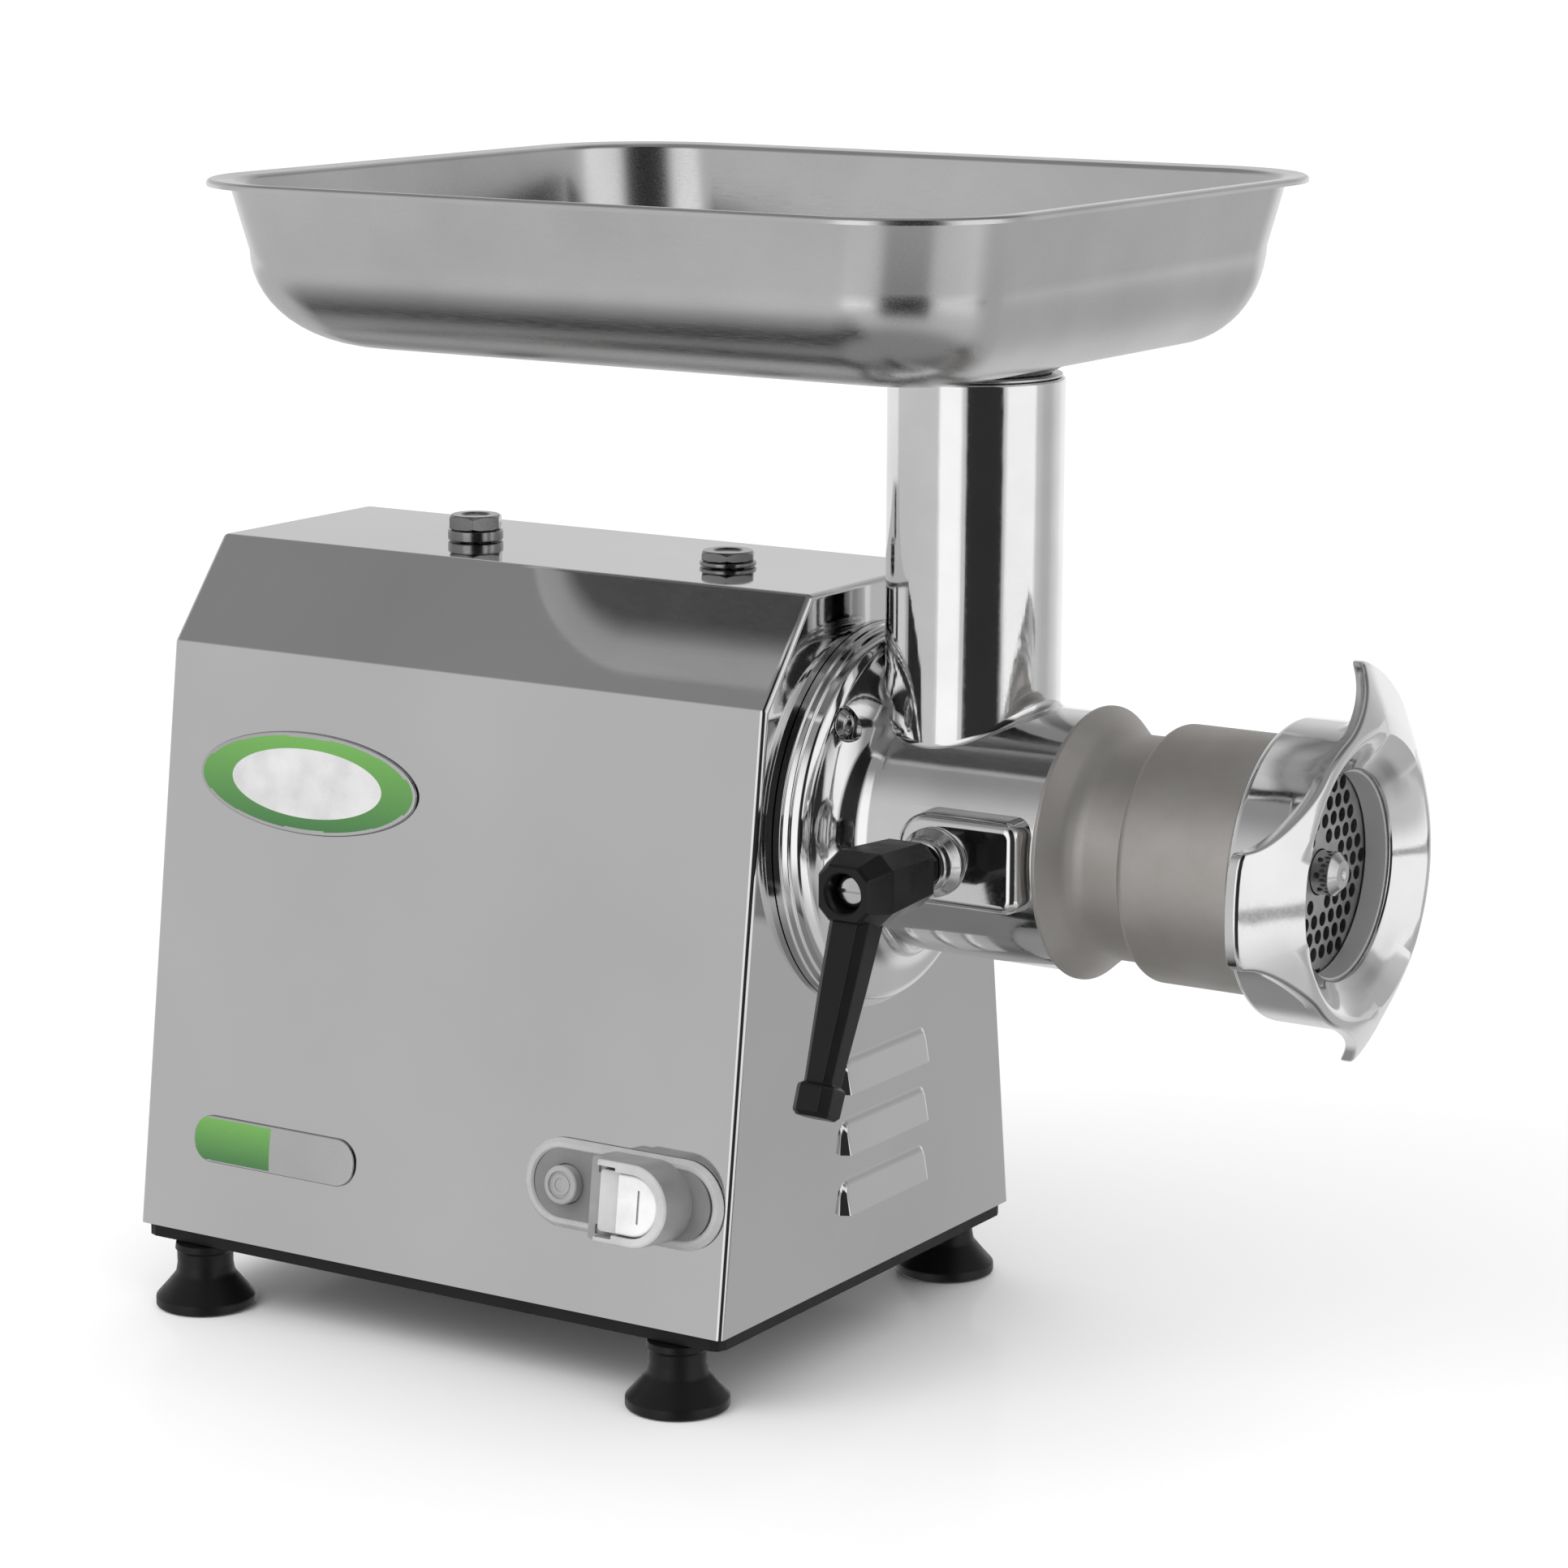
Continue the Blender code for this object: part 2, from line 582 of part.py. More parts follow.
def head_casting():
    at = (HOUSING_FRONT_X, 0, AXIS_Z)
    casting = revolve("head_casting", bell_outline(), at, SMOOTH)
    centre_x = ahead(TUBE_AHEAD)
    tube = revolve("feed_tube", [(AXIS_Z + 0.003, 0.0), (AXIS_Z + 0.003, TUBE_RADIUS), (TUBE_TOP_Z - 0.001, TUBE_RADIUS),
                   (TUBE_TOP_Z, TUBE_RADIUS - 0.001), (TUBE_TOP_Z, 0.0)], (centre_x, 0, 0), SMOOTH, "Z")
    boolean(casting, tube, "UNION")
    boolean(casting, boss(), "UNION")
    bore = [(-0.0200, 0.0), (-0.0200, 0.0182), (0.0085, 0.0182), (0.0085, BARREL_BORE), (0.1, BARREL_BORE),
            (0.1, 0.0)]
    boolean(casting, revolve("barrel_bore", bore, at, SMOOTH))
    boolean(casting, rod("tube_bore", AXIS_Z + 0.005, 0.35, TUBE_BORE, (centre_x, 0, 0), SMOOTH, "Z"))
    stud = rod("stud_hole", 0.02, 0.08, 0.0053, (ahead(STUD_AHEAD), 0, STUD_Z), 12, "Y")
    boolean(casting, stud)
    wells = [rod("screw_well", 0.0085, 0.03, 0.0058, screw_place(i), 12) for i in range(4)]
    shanks = [rod("screw_shank_hole", -0.02, 0.02, 0.0028, screw_place(i), 8) for i in range(4)]
    boolean(casting, joined("screw_wells", wells))
    boolean(casting, joined("screw_holes", shanks))
    return node(casting, "polished_aluminium", True)


def boss():
    """Flat pad on the operator's side that carries the clamping stud."""
    x0, x1 = ahead(STUD_AHEAD - 0.0150), ahead(BARREL_END - 0.0008)
    pad = block("stud_boss", (x0, x1), (-BOSS_FACE, -0.030), (AXIS_Z - 0.0165, AXIS_Z + 0.0150))
    bm = bmesh.new()
    bm.from_mesh(pad.data)
    front = [e for e in bm.edges if any(v.co.y < -BOSS_FACE + 1e-6 for v in e.verts)]
    bmesh.ops.bevel(bm, geom=front, offset=0.0045, segments=2, profile=0.5, affect="EDGES")
    bm.to_mesh(pad.data)
    bm.free()
    return pad


def screw_place(index):
    angle = math.radians(45 + 90 * index)
    return (HOUSING_FRONT_X, SCREW_CIRCLE * math.cos(angle), AXIS_Z + SCREW_CIRCLE * math.sin(angle))


def flange_screw(index):
    """Button-head socket screw that holds the casting to the gearbox."""
    name = "flange_screw_%d" % (index + 1)
    outline = [(-0.0150, 0.0), (-0.0150, 0.0025), (0.0088, 0.0025), (0.0088, 0.0050), (0.0100, 0.0050),
               (0.0116, 0.0036), (0.0118, 0.0020), (0.0102, 0.0020), (0.0102, 0.0)]
    return node(revolve(name, outline, screw_place(index), 12), "steel", True)


# ---- clamping lever ----------------------------------------------------------------------
LEVER_PLACE = (ahead(STUD_AHEAD), 0, STUD_Z)
LEVER_NECK = 0.0585               # distances outwards from the auger axis, along -Y
LEVER_HEAD = 0.0650
LEVER_HEAD_RADIUS = 0.0122
LEVER_FACE = 0.1045
LEVER_TOP = (0.0, -0.0930, -0.0030)
LEVER_END = (0.0, -0.1195, -0.0670)
LEVER_ARM = ((0.0, 0.0076), (0.840, 0.0052), (0.848, 0.0068), (1.0, 0.0068))   # (share of length, radius)


def stud():
    """Screw with a round collar; the screw's tip clamps the mouth in the barrel."""
    b = BOSS_FACE + GAP
    outline = [(MOUTH_SLEEVE + 0.0008, 0.0), (MOUTH_SLEEVE + 0.0008, 0.0040), (MOUTH_SLEEVE + 0.0020, 0.0050),
               (b, 0.0050), (b, 0.0098), (b + 0.0020, 0.0105), (b + 0.0045, 0.0105), (b + 0.0066, 0.0085),
               (b + 0.0066, 0.0050), (LEVER_FACE - 0.0130, 0.0050), (LEVER_FACE - 0.0130, 0.0)]
    piece = revolve("clamp_stud", outline, LEVER_PLACE, 12, "Y")
    return node(piece, "steel", True)


def lever_handle():
    """Moulded head with a sloping octagonal arm that ends in a collar."""
    outline = [(LEVER_NECK, 0.0), (LEVER_NECK, 0.0075), (LEVER_HEAD, 0.0080),
               (LEVER_HEAD + 0.004, LEVER_HEAD_RADIUS - 0.0010), (LEVER_FACE - 0.006, LEVER_HEAD_RADIUS),
               (LEVER_FACE, 0.0098), (LEVER_FACE, 0.0)]
    head = revolve("lever_handle", outline, LEVER_PLACE, 16, "Y")
    boolean(head, lever_arm(), "UNION")
    bore = rod("lever_bore", 0.0, 0.2, 0.0053, LEVER_PLACE, 16, "Y")
    boolean(head, bore)
    recess = rod("lever_recess", LEVER_FACE - 0.0120, 0.2, 0.0062, LEVER_PLACE, 16, "Y")
    boolean(head, recess)
    return node(head, "black_plastic")


def lever_arm():
    """Octagonal bar that tapers towards its end, with a thicker end collar."""
    start, end = Vector(LEVER_TOP), Vector(LEVER_END)
    direction = (end - start).normalized()
    turn = direction.to_track_quat("Z", "Y").to_matrix().to_4x4()
    length = (end - start).length
    outline = [(0.0, 0.0)] + [(length * share, radius) for share, radius in LEVER_ARM] + [(length, 0.0)]
    arm = revolve("lever_arm", outline, (0, 0, 0), 8, "Z")
    arm.data.transform(Matrix.Translation(start) @ turn @ Matrix.Rotation(math.pi / 8, 4, "Z"))
    arm.location = LEVER_PLACE
    return arm


def lever_screw():
    """Screw in the head's recess that keeps the handle on the stud."""
    outline = [(LEVER_FACE - 0.0117, 0.0), (LEVER_FACE - 0.0117, 0.0056), (LEVER_FACE - 0.0065, 0.0056),
               (LEVER_FACE - 0.0050, 0.0040), (LEVER_FACE - 0.0050, 0.0)]
    piece = revolve("lever_screw", outline, LEVER_PLACE, 16, "Y")
    return node(piece, "steel", True)


# ---- mouth, auger, knife, plate and nut --------------------------------------------------
def mouth():
    """Removable sleeve: clamped in the barrel behind its flare, threaded for the nut in front."""
    outline = [(0.0140, MOUTH_BORE), (0.0140, MOUTH_SLEEVE), (0.0826, MOUTH_SLEEVE), (0.0826, MOUTH_FLARE - 0.0006),
               (0.0832, MOUTH_FLARE), (0.0842, MOUTH_FLARE - 0.0006), (0.0900, MOUTH_NECK + 0.0026),
               (0.0940, MOUTH_NECK + 0.0005), (0.0970, MOUTH_NECK), (0.1085, MOUTH_NECK),
               (0.1105, MOUTH_NECK + 0.0014), (0.1110, MOUTH_BODY - 0.0035), (0.1125, MOUTH_BODY - 0.0008),
               (0.1145, MOUTH_BODY), (NUT_BACK - GAP, MOUTH_BODY), (NUT_BACK, MOUTH_THREAD),
               (0.1655, MOUTH_THREAD), (0.1655, PLATE_SEAT), (0.1425, PLATE_SEAT), (0.1425, MOUTH_BORE)]
    piece = revolve("mouth_sleeve", outline, (HOUSING_FRONT_X, 0, AXIS_Z))
    window = rod("feed_window", 0.0, 0.060, TUBE_BORE - 0.002, (ahead(TUBE_AHEAD), 0, AXIS_Z), 16, "Z")
    boolean(piece, window)
    return node(piece, "satin_aluminium", True)


def extruded_stations(name, section, stations, at):
    """Carry a (y, z) section along X, turning and scaling it at each (x, turn, scale) station."""
    bm = bmesh.new()
    x0, turn0, scale0 = stations[0]
    verts = [bm.verts.new((x0, y * scale0, z * scale0)) for y, z in section]
    bmesh.ops.rotate(bm, verts=verts, cent=(0, 0, 0), matrix=Matrix.Rotation(turn0, 3, "X"))
    face = bm.faces.new(verts)
    old_x, old_turn, old_scale = x0, turn0, scale0
    for index, (x, turn, scale) in enumerate(stations[1:]):
        grown = bmesh.ops.extrude_face_region(bm, geom=[face])["geom"]
        if index:
            bmesh.ops.delete(bm, geom=[face], context="FACES_ONLY")
        face = next(item for item in grown if isinstance(item, bmesh.types.BMFace))
        bmesh.ops.translate(bm, verts=face.verts, vec=(x - old_x, 0, 0))
        bmesh.ops.rotate(bm, verts=face.verts, cent=(x, 0, 0), matrix=Matrix.Rotation(turn - old_turn, 3, "X"))
        for vert in face.verts:
            vert.co.y *= scale / old_scale
            vert.co.z *= scale / old_scale
        old_x, old_turn, old_scale = x, turn, scale
    return finish_mesh(name, bm, at)


def auger():
    """Worm: a round core with one flight, a square drive behind and a stepped pin in front."""
    at = (HOUSING_FRONT_X, 0, AXIS_Z)
    half_flight = math.radians(13)
    section = []
    for angle, radius in ((-half_flight * 2.2, AUGER_CORE), (-half_flight * 0.7, AUGER_RADIUS),
                          (half_flight * 0.7, AUGER_RADIUS), (half_flight * 2.2, AUGER_CORE)):
        section.append((radius * math.cos(angle), radius * math.sin(angle)))
    for step in range(1, 8):
        angle = half_flight * 2.2 + (math.tau - half_flight * 4.4) * step / 8
        section.append((AUGER_CORE * math.cos(angle), AUGER_CORE * math.sin(angle)))
    steps = 40
    length = AUGER_END - AUGER_START
    stations = []
    for i in range(steps + 1):
        along = AUGER_START + length * i / steps
        stations.append((along, -math.tau * length * i / steps / AUGER_PITCH, 1.0))
    worm = extruded_stations("auger", section, stations, at)
    half = SQUARE_DRIVE / 2
    drive = block("auger_drive", (-0.004, AUGER_START + 0.002), (-half, half), (-half, half))
    drive.location = at
    boolean(worm, drive, "UNION")
    nose = (SQUARE_DRIVE - 0.003) / 2
    square = block("auger_nose", (AUGER_END - 0.002, PLATE_AHEAD - GAP), (-nose, nose), (-nose, nose))
    square.location = at
    boolean(worm, square, "UNION")
    pin = revolve("auger_pin", [(AUGER_END, 0.0), (AUGER_END, 0.0050), (PLATE_AHEAD - GAP, 0.0050),
                  (PLATE_AHEAD - GAP, PIN_RADIUS), (PIN_END - 0.0018, PIN_RADIUS),
                  (PIN_END, PIN_RADIUS - 0.0018), (PIN_END, 0.0)], at, 14)
    boolean(worm, pin, "UNION")
    return node(worm, "steel")


def knife():
    """Four-armed knife on the auger's square nose."""
    tip = MOUTH_BORE + 0.0020
    outline = []
    for arm in range(4):
        base = math.pi / 2 * arm
        for angle, radius in ((-0.62, 0.0125), (-0.20, tip), (0.20, tip), (0.40, 0.0125)):
            outline.append((radius * math.cos(base + angle), radius * math.sin(base + angle)))
    half = (SQUARE_DRIVE - 0.003) / 2 + 0.0002
    hole = [(-half, -half), (half, -half), (half, half), (-half, half)]
    thickness = PLATE_AHEAD - 0.0004 - (AUGER_END + GAP)
    place = across_x((PLATE_AHEAD - 0.0004 + AUGER_END + GAP) / 2)
    blade = flat_with_holes("knife", [outline, hole], thickness, place)
    blade.location = (HOUSING_FRONT_X, 0, AXIS_Z)
    return node(blade, "steel")


def plate_holes():
    """Centres of the plate's holes on a triangular grid, clear of the hub, rim and key slot."""
    centres = []
    rows = int(PLATE_RADIUS / PLATE_PITCH) + 2
    for row in range(-rows, rows + 1):
        for column in range(-rows, rows + 1):
            y = (column + 0.5 * (row % 2)) * PLATE_PITCH
            z = row * PLATE_PITCH * math.sqrt(3) / 2
            if 0.0118 < math.hypot(y, z) < PLATE_RADIUS - 0.0042 and not (abs(y) < 0.0035 and z < -0.0260):
                centres.append((y, z))
    return centres


def perforated_plate():
    key_half, key_depth = 0.0021, 0.0038
    rim = []
    for y, z in circle_points(PLATE_RADIUS, 40, phase=-math.pi / 2 + math.tau / 80):
        rim.append((y, z))
    edge = math.sqrt(PLATE_RADIUS ** 2 - key_half ** 2)
    rim += [(-key_half, -edge), (-key_half, -edge + key_depth), (key_half, -edge + key_depth), (key_half, -edge)]
    bore = circle_points(PIN_RADIUS + 0.0004, 16)
    holes = [circle_points(PLATE_HOLE, 6, centre) for centre in plate_holes()]
    piece = flat_with_holes("perforated_plate", [rim, bore] + holes, PLATE_THICK,
                            across_x(PLATE_AHEAD + PLATE_THICK / 2))
    piece.location = (HOUSING_FRONT_X, 0, AXIS_Z)
    return node(piece, "steel")


def plate_key():
    """Pin fixed in the mouth that keeps the plate from turning."""
    width, top = 0.0038, PLATE_RADIUS - 0.0030
    bottom = PLATE_SEAT - GAP
    low, high = PLATE_AHEAD + 0.0005, PLATE_AHEAD + PLATE_THICK - 0.0005
    pin = block("plate_key", (low, high), (-width / 2, width / 2), (-bottom + 0.0002, -top))
    pin.location = (HOUSING_FRONT_X, 0, AXIS_Z)
    return node(pin, "steel")


def spacer_ring():
    """Ring between the plate and the nut's lip."""
    start = PLATE_AHEAD + PLATE_THICK + GAP
    piece = ring("spacer_ring", start, NUT_LIP - 0.0010 - GAP, 0.0322, 0.0350, (HOUSING_FRONT_X, 0, AXIS_Z))
    return node(piece, "satin_stainless", True)


def ring_nut():
    """Threaded ring with a dished front and three swept-back wings."""
    at = (HOUSING_FRONT_X, 0, AXIS_Z)
    outline = [(NUT_BACK, NUT_THREAD), (NUT_BACK, NUT_RADIUS - 0.0035), (NUT_BACK + 0.0010, NUT_RADIUS - 0.0012),
               (NUT_BACK + 0.0032, NUT_RADIUS), (NUT_CREST - 0.0060, NUT_RADIUS), (NUT_CREST - 0.0015, NUT_RADIUS),
               (NUT_CREST, NUT_RADIUS - 0.0018), (NUT_CREST - 0.0006, NUT_RADIUS - 0.0045),
               (NUT_LIP + 0.0030, NUT_OPENING + 0.0048), (NUT_LIP + 0.0004, NUT_OPENING + 0.0006),
               (NUT_LIP - 0.0006, NUT_OPENING), (NUT_LIP - 0.0010, NUT_OPENING + 0.0002),
               (NUT_LIP - 0.0010, NUT_THREAD)]
    nut = revolve("ring_nut", outline, at)
    for index in range(WING_COUNT):
        boolean(nut, wing(index), "UNION")
    return node(nut, "polished_aluminium", True)


def wing(index):
    """Swept-back lug with hollow flanks: a flat outline bent backwards along a cone."""
    root = NUT_RADIUS - 0.0030
    root_angle, tip_angle = math.radians(43), math.asin(0.0150 / WING_REACH)
    flank = []
    for step in range(1, 6):
        t = step / 5
        angle = root_angle + (tip_angle - root_angle) * math.sin(t * math.pi / 2)
        flank.append((angle, root + (WING_REACH - root) * t))
    inner = [(-root_angle + root_angle * i / 3, root - 0.0008) for i in range(7)]
    polar = [(-angle, radius) for angle, radius in reversed(flank)] + inner + flank
    outline = [(radius * math.sin(angle), radius * math.cos(angle)) for angle, radius in polar]
    lug = prism("nut_wing_%d" % index, outline, WING_THICK, across_x(0.0))
    start = NUT_CREST - 0.0045
    slope = (start - WING_TIP) / (WING_REACH - root)
    for vert in lug.data.vertices:
        vert.co.x += start - (math.hypot(vert.co.y, vert.co.z) - root) * slope
    lug.data.transform(Matrix.Rotation(math.pi / 2 + math.tau * index / WING_COUNT, 4, "X"))
    lug.location = (HOUSING_FRONT_X, 0, AXIS_Z)
    return lug


# ---- tray --------------------------------------------------------------------------------
def tray_loop(bm, inset, z, radius):
    """Rounded rectangle moved inwards; the outlet end's bend is tighter than the others."""
    wall = TRAY_RIM_WIDTH + TRAY_DRAFT
    front = min(inset, wall) + max(inset - wall, 0.0) * TRAY_FRONT_SHARE
    corners = rounded_points((TRAY_REAR_X + inset, TRAY_FRONT_X - front),
                             (-TRAY_HALF_Y + inset, TRAY_HALF_Y - inset), radius, TRAY_STEPS)
    return [bm.verts.new((x, y, z)) for x, y in corners]


def tray_hole_loop(bm, z):
    """The round hole over the feed tube, with one point for each point of a wall loop."""
    centre_x = ahead(TUBE_AHEAD)
    corners = rounded_points((TRAY_REAR_X, TRAY_FRONT_X), (-TRAY_HALF_Y, TRAY_HALF_Y), TRAY_CORNER, TRAY_STEPS)
    points = []
    for x, y in corners:
        angle = math.atan2(y, x - centre_x)
        points.append(bm.verts.new((centre_x + TRAY_HOLE * math.cos(angle), TRAY_HOLE * math.sin(angle), z)))
    return points


def tray():
    """Pressed tray: turned-down rim, drafted walls, a deep bend, and a floor that falls to the hole."""
    rim = TRAY_RIM_WIDTH
    wall_low = rim + TRAY_DRAFT
    levels = [(0.0, TRAY_RIM_Z - 0.0022, TRAY_CORNER), (0.0008, TRAY_RIM_Z, TRAY_CORNER),
              (rim - 0.002, TRAY_RIM_Z - 0.0010, TRAY_CORNER - rim + 0.002),
              (rim, TRAY_RIM_Z - 0.0030, TRAY_CORNER - rim)]
    levels.append((wall_low, TRAY_EDGE_Z + TRAY_BEND_HEIGHT, TRAY_CORNER - rim))
    for step in range(1, 4):
        angle = math.pi / 2 * step / 3
        reach = TRAY_BEND_WIDTH * (1 - math.cos(angle))
        levels.append((wall_low + reach, TRAY_EDGE_Z + TRAY_BEND_HEIGHT * (1 - math.sin(angle)),
                       TRAY_CORNER - rim - reach * TRAY_CORNER_CLOSING))
    bm = bmesh.new()
    loops = [tray_loop(bm, *level) for level in levels]
    loops.append(tray_hole_loop(bm, TRAY_FLOOR_Z))
    loops.append(tray_hole_loop(bm, TRAY_FLOOR_Z - TRAY_SHEET))
    for inset, z, radius in reversed(levels[2:]):
        loops.append(tray_loop(bm, inset - TRAY_SHEET, z - TRAY_SHEET, radius))
    loops.append(tray_loop(bm, TRAY_SHEET, TRAY_RIM_Z - TRAY_SHEET, TRAY_CORNER - TRAY_SHEET))
    loops.append(tray_loop(bm, TRAY_SHEET, TRAY_RIM_Z - 0.0022, TRAY_CORNER - TRAY_SHEET))
    for index in range(len(loops)):
        first, second = loops[index - 1], loops[index]
        for i in range(len(first)):
            j = (i + 1) % len(first)
            bm.faces.new((first[i], first[j], second[j], second[i]))
    return node(finish_mesh("tray", bm), "satin_stainless", True)


def tray_spout():
    """Short pipe with a collar, welded under the tray, that drops into the feed tube."""
    low, high = TUBE_TOP_Z - 0.030, TRAY_FLOOR_Z - TRAY_SHEET - GAP
    collar = TUBE_TOP_Z + GAP
    outline = [(low, TRAY_HOLE), (low, SPOUT_RADIUS), (collar, SPOUT_RADIUS), (collar, 0.0275),
               (high, 0.0275), (high, TRAY_HOLE)]
    return node(revolve("tray_spout", outline, (ahead(TUBE_AHEAD), 0, 0), SMOOTH, "Z"), "satin_stainless", True)


# ---- gearbox -----------------------------------------------------------------------------
CASE_FRONT = -0.008               # distances ahead of the housing's front face
CASE_BACK = -0.062
CASE_WALL = 0.007
CASE_HALF_Y = 0.0465
SHAFT_RADIUS = 0.0080


def gear_outline(teeth, module, phase):
    """Teeth with straight flanks, a little slimmer than the gaps they run in."""
    pitch_radius = teeth * module / 2
    tip, root = pitch_radius + 0.80 * module, pitch_radius - 1.20 * module
    step = math.tau / teeth
    outline = []
    for index in range(teeth):
        centre = phase + step * index
        for offset, radius in ((-0.33, root), (-0.13, tip), (0.13, tip), (0.33, root)):
            angle = centre + offset * step
            outline.append((radius * math.cos(angle), radius * math.sin(angle)))
    return outline


def gear(name, teeth, module, phase, bore, span, z):
    """Spur gear with a round bore, its origin on its own axis."""
    width = span[1] - span[0]
    outline = [gear_outline(teeth, module, phase), circle_points(bore, 20)]
    piece = flat_with_holes(name, outline, width, across_x(0.0))
    piece.location = (ahead((span[0] + span[1]) / 2), 0, z)
    return node(piece, "steel")


def gears():
    first, second = FIRST_TEETH, SECOND_TEETH
    up, down = math.pi / 2, -math.pi / 2
    gear("motor_pinion", first[0], FIRST_MODULE, up, SHAFT_RADIUS - 0.0025 + GAP, (-0.0510, -0.0405), MOTOR_Z)
    gear("countershaft_wheel", first[1], FIRST_MODULE, down + math.pi / first[1], SHAFT_RADIUS + GAP,
         (-0.0500, -0.0415), COUNTERSHAFT_Z)
    gear("countershaft_pinion", second[0], SECOND_MODULE, up, SHAFT_RADIUS - 0.0003, (-0.0385, -0.0215),
         COUNTERSHAFT_Z)
    gear("output_wheel", second[1], SECOND_MODULE, down + math.pi / second[1], 0.0150 + GAP,
         (-0.0370, -0.0230), AXIS_Z)


def gearbox_case():
    low, high = MOTOR_Z - 0.026, AXIS_Z + 0.0455
    case = block("gearbox_case", (ahead(CASE_BACK), ahead(CASE_FRONT)), (-CASE_HALF_Y, CASE_HALF_Y), (low, high))
    inner = block("case_inside", (ahead(CASE_BACK) - 0.01, ahead(CASE_FRONT) - CASE_WALL),
                  (-CASE_HALF_Y + 0.004, CASE_HALF_Y - 0.004), (low + 0.004, high - 0.004))
    boolean(case, inner)
    boolean(case, rod("case_output_bore", -0.03, 0.01, 0.0215, (HOUSING_FRONT_X, 0, AXIS_Z), FINE))
    boolean(case, rod("case_counter_bore", -0.020, -0.0095, 0.0092, (HOUSING_FRONT_X, 0, COUNTERSHAFT_Z), 16))
    screws = [rod("case_screw_hole", -0.018, 0.01, 0.0028, screw_place(i), 8) for i in range(4)]
    boolean(case, joined("case_screw_holes", screws))
    return node(case, "cast_iron")


def gearbox_cover():
    low, high = MOTOR_Z - 0.026, AXIS_Z + 0.0455
    start = CASE_BACK - GAP - CASE_WALL
    loops = [rounded_points((-CASE_HALF_Y, CASE_HALF_Y), (low, high), 0.003, 2)]
    for z, radius in ((AXIS_Z, 0.0162), (COUNTERSHAFT_Z, 0.0160), (MOTOR_Z, 0.0095)):
        loops.append(circle_points(radius, 20, (0.0, z)))
    piece = flat_with_holes("gearbox_cover", loops, CASE_WALL, across_x(ahead(start + CASE_WALL / 2)))
    return node(piece, "cast_iron")


def bearing(name, start, width, inner, outer, z):
    """Ball bearing, drawn as one ring."""
    piece = ring(name, start, start + width, inner, outer, (HOUSING_FRONT_X, 0, z), FINE)
    return node(piece, "steel", True)


def output_shaft():
    """Shaft carrying the output wheel, with a square socket for the auger's drive."""
    at = (HOUSING_FRONT_X, 0, AXIS_Z)
    back = CASE_BACK - GAP - CASE_WALL
    outline = [(back, 0.0), (back, 0.0100), (-0.0540, 0.0100), (-0.0540, 0.0150), (-0.0100, 0.0150),
               (0.0130, 0.0150), (0.0130, 0.0)]
    shaft = revolve("output_shaft", outline, at, FINE)
    half = SQUARE_DRIVE / 2 + GAP
    socket = block("drive_socket", (-0.0060, 0.02), (-half, half), (-half, half))
    socket.location = at
    boolean(shaft, socket)
    return node(shaft, "steel", True)


def countershaft():
    at = (HOUSING_FRONT_X, 0, COUNTERSHAFT_Z)
    outline = [(-0.0690, 0.0), (-0.0690, SHAFT_RADIUS), (-0.0400, SHAFT_RADIUS), (-0.0400, 0.0074),
               (-0.0110, 0.0074), (-0.0110, 0.0)]
    return node(revolve("countershaft", outline, at, 16), "steel", True)


# ---- motor -------------------------------------------------------------------------------
MOTOR_FRONT = -0.0700
MOTOR_BACK = -0.1750
BELL = 0.0110


def motor():
    at = (HOUSING_FRONT_X, 0, MOTOR_Z)
    front, back = MOTOR_FRONT - BELL, MOTOR_BACK + BELL
    core = ring("stator_core", back + 0.012, front - 0.012, 0.0385, MOTOR_RADIUS, at)
    node(core, "steel", True)
    winding = [(back + GAP, 0.0332), (back + GAP, 0.0480), (back + 0.0117, 0.0480), (back + 0.0117, 0.0381),
               (front - 0.0117, 0.0381), (front - 0.0117, 0.0480), (front - GAP, 0.0480), (front - GAP, 0.0332)]
    node(revolve("stator_winding", winding, at), "copper", True)
    for name, start in (("motor_front_bell", front), ("motor_rear_bell", MOTOR_BACK)):
        bell = revolve(name, [(start, 0.0163), (start, MOTOR_RADIUS - 0.002), (start + 0.002, MOTOR_RADIUS),
                       (start + BELL - 0.002, MOTOR_RADIUS), (start + BELL, MOTOR_RADIUS - 0.002),
                       (start + BELL, 0.0163)], at)
        node(bell, "cast_iron", True)
        bearing(name.replace("bell", "bearing"), start + 0.001, BELL - 0.002, SHAFT_RADIUS + GAP, 0.0160, MOTOR_Z)
    node(ring("rotor_core", back + 0.008, front - 0.008, SHAFT_RADIUS + GAP, 0.0325, at), "steel", True)
    shaft = [(-0.1930, 0.0), (-0.1930, SHAFT_RADIUS), (-0.0560, SHAFT_RADIUS), (-0.0560, 0.0055),
             (-0.0390, 0.0055), (-0.0390, 0.0)]
    node(revolve("motor_shaft", shaft, at, 16), "steel", True)
    fan(at)


def fan(at):
    """Cooling fan with eight straight blades on a hub disc."""
    start = MOTOR_BACK - 0.0140
    outline = [(start, SHAFT_RADIUS + GAP), (start, 0.0140), (start + 0.0090, 0.0140), (start + 0.0090, 0.0440),
               (start + 0.0110, 0.0440), (start + 0.0110, SHAFT_RADIUS + GAP)]
    hub = revolve("cooling_fan", outline, at, 24)
    blades = []
    for index in range(8):
        blade = block("blade", (start, start + 0.0100), (0.0120, 0.0430), (-0.0008, 0.0008))
        blade.data.transform(Matrix.Rotation(math.tau * index / 8, 4, "X"))
        blades.append(blade)
    blades = joined("fan_blades", blades)
    blades.location = at
    boolean(hub, blades, "UNION")
    node(hub, "black_plastic")


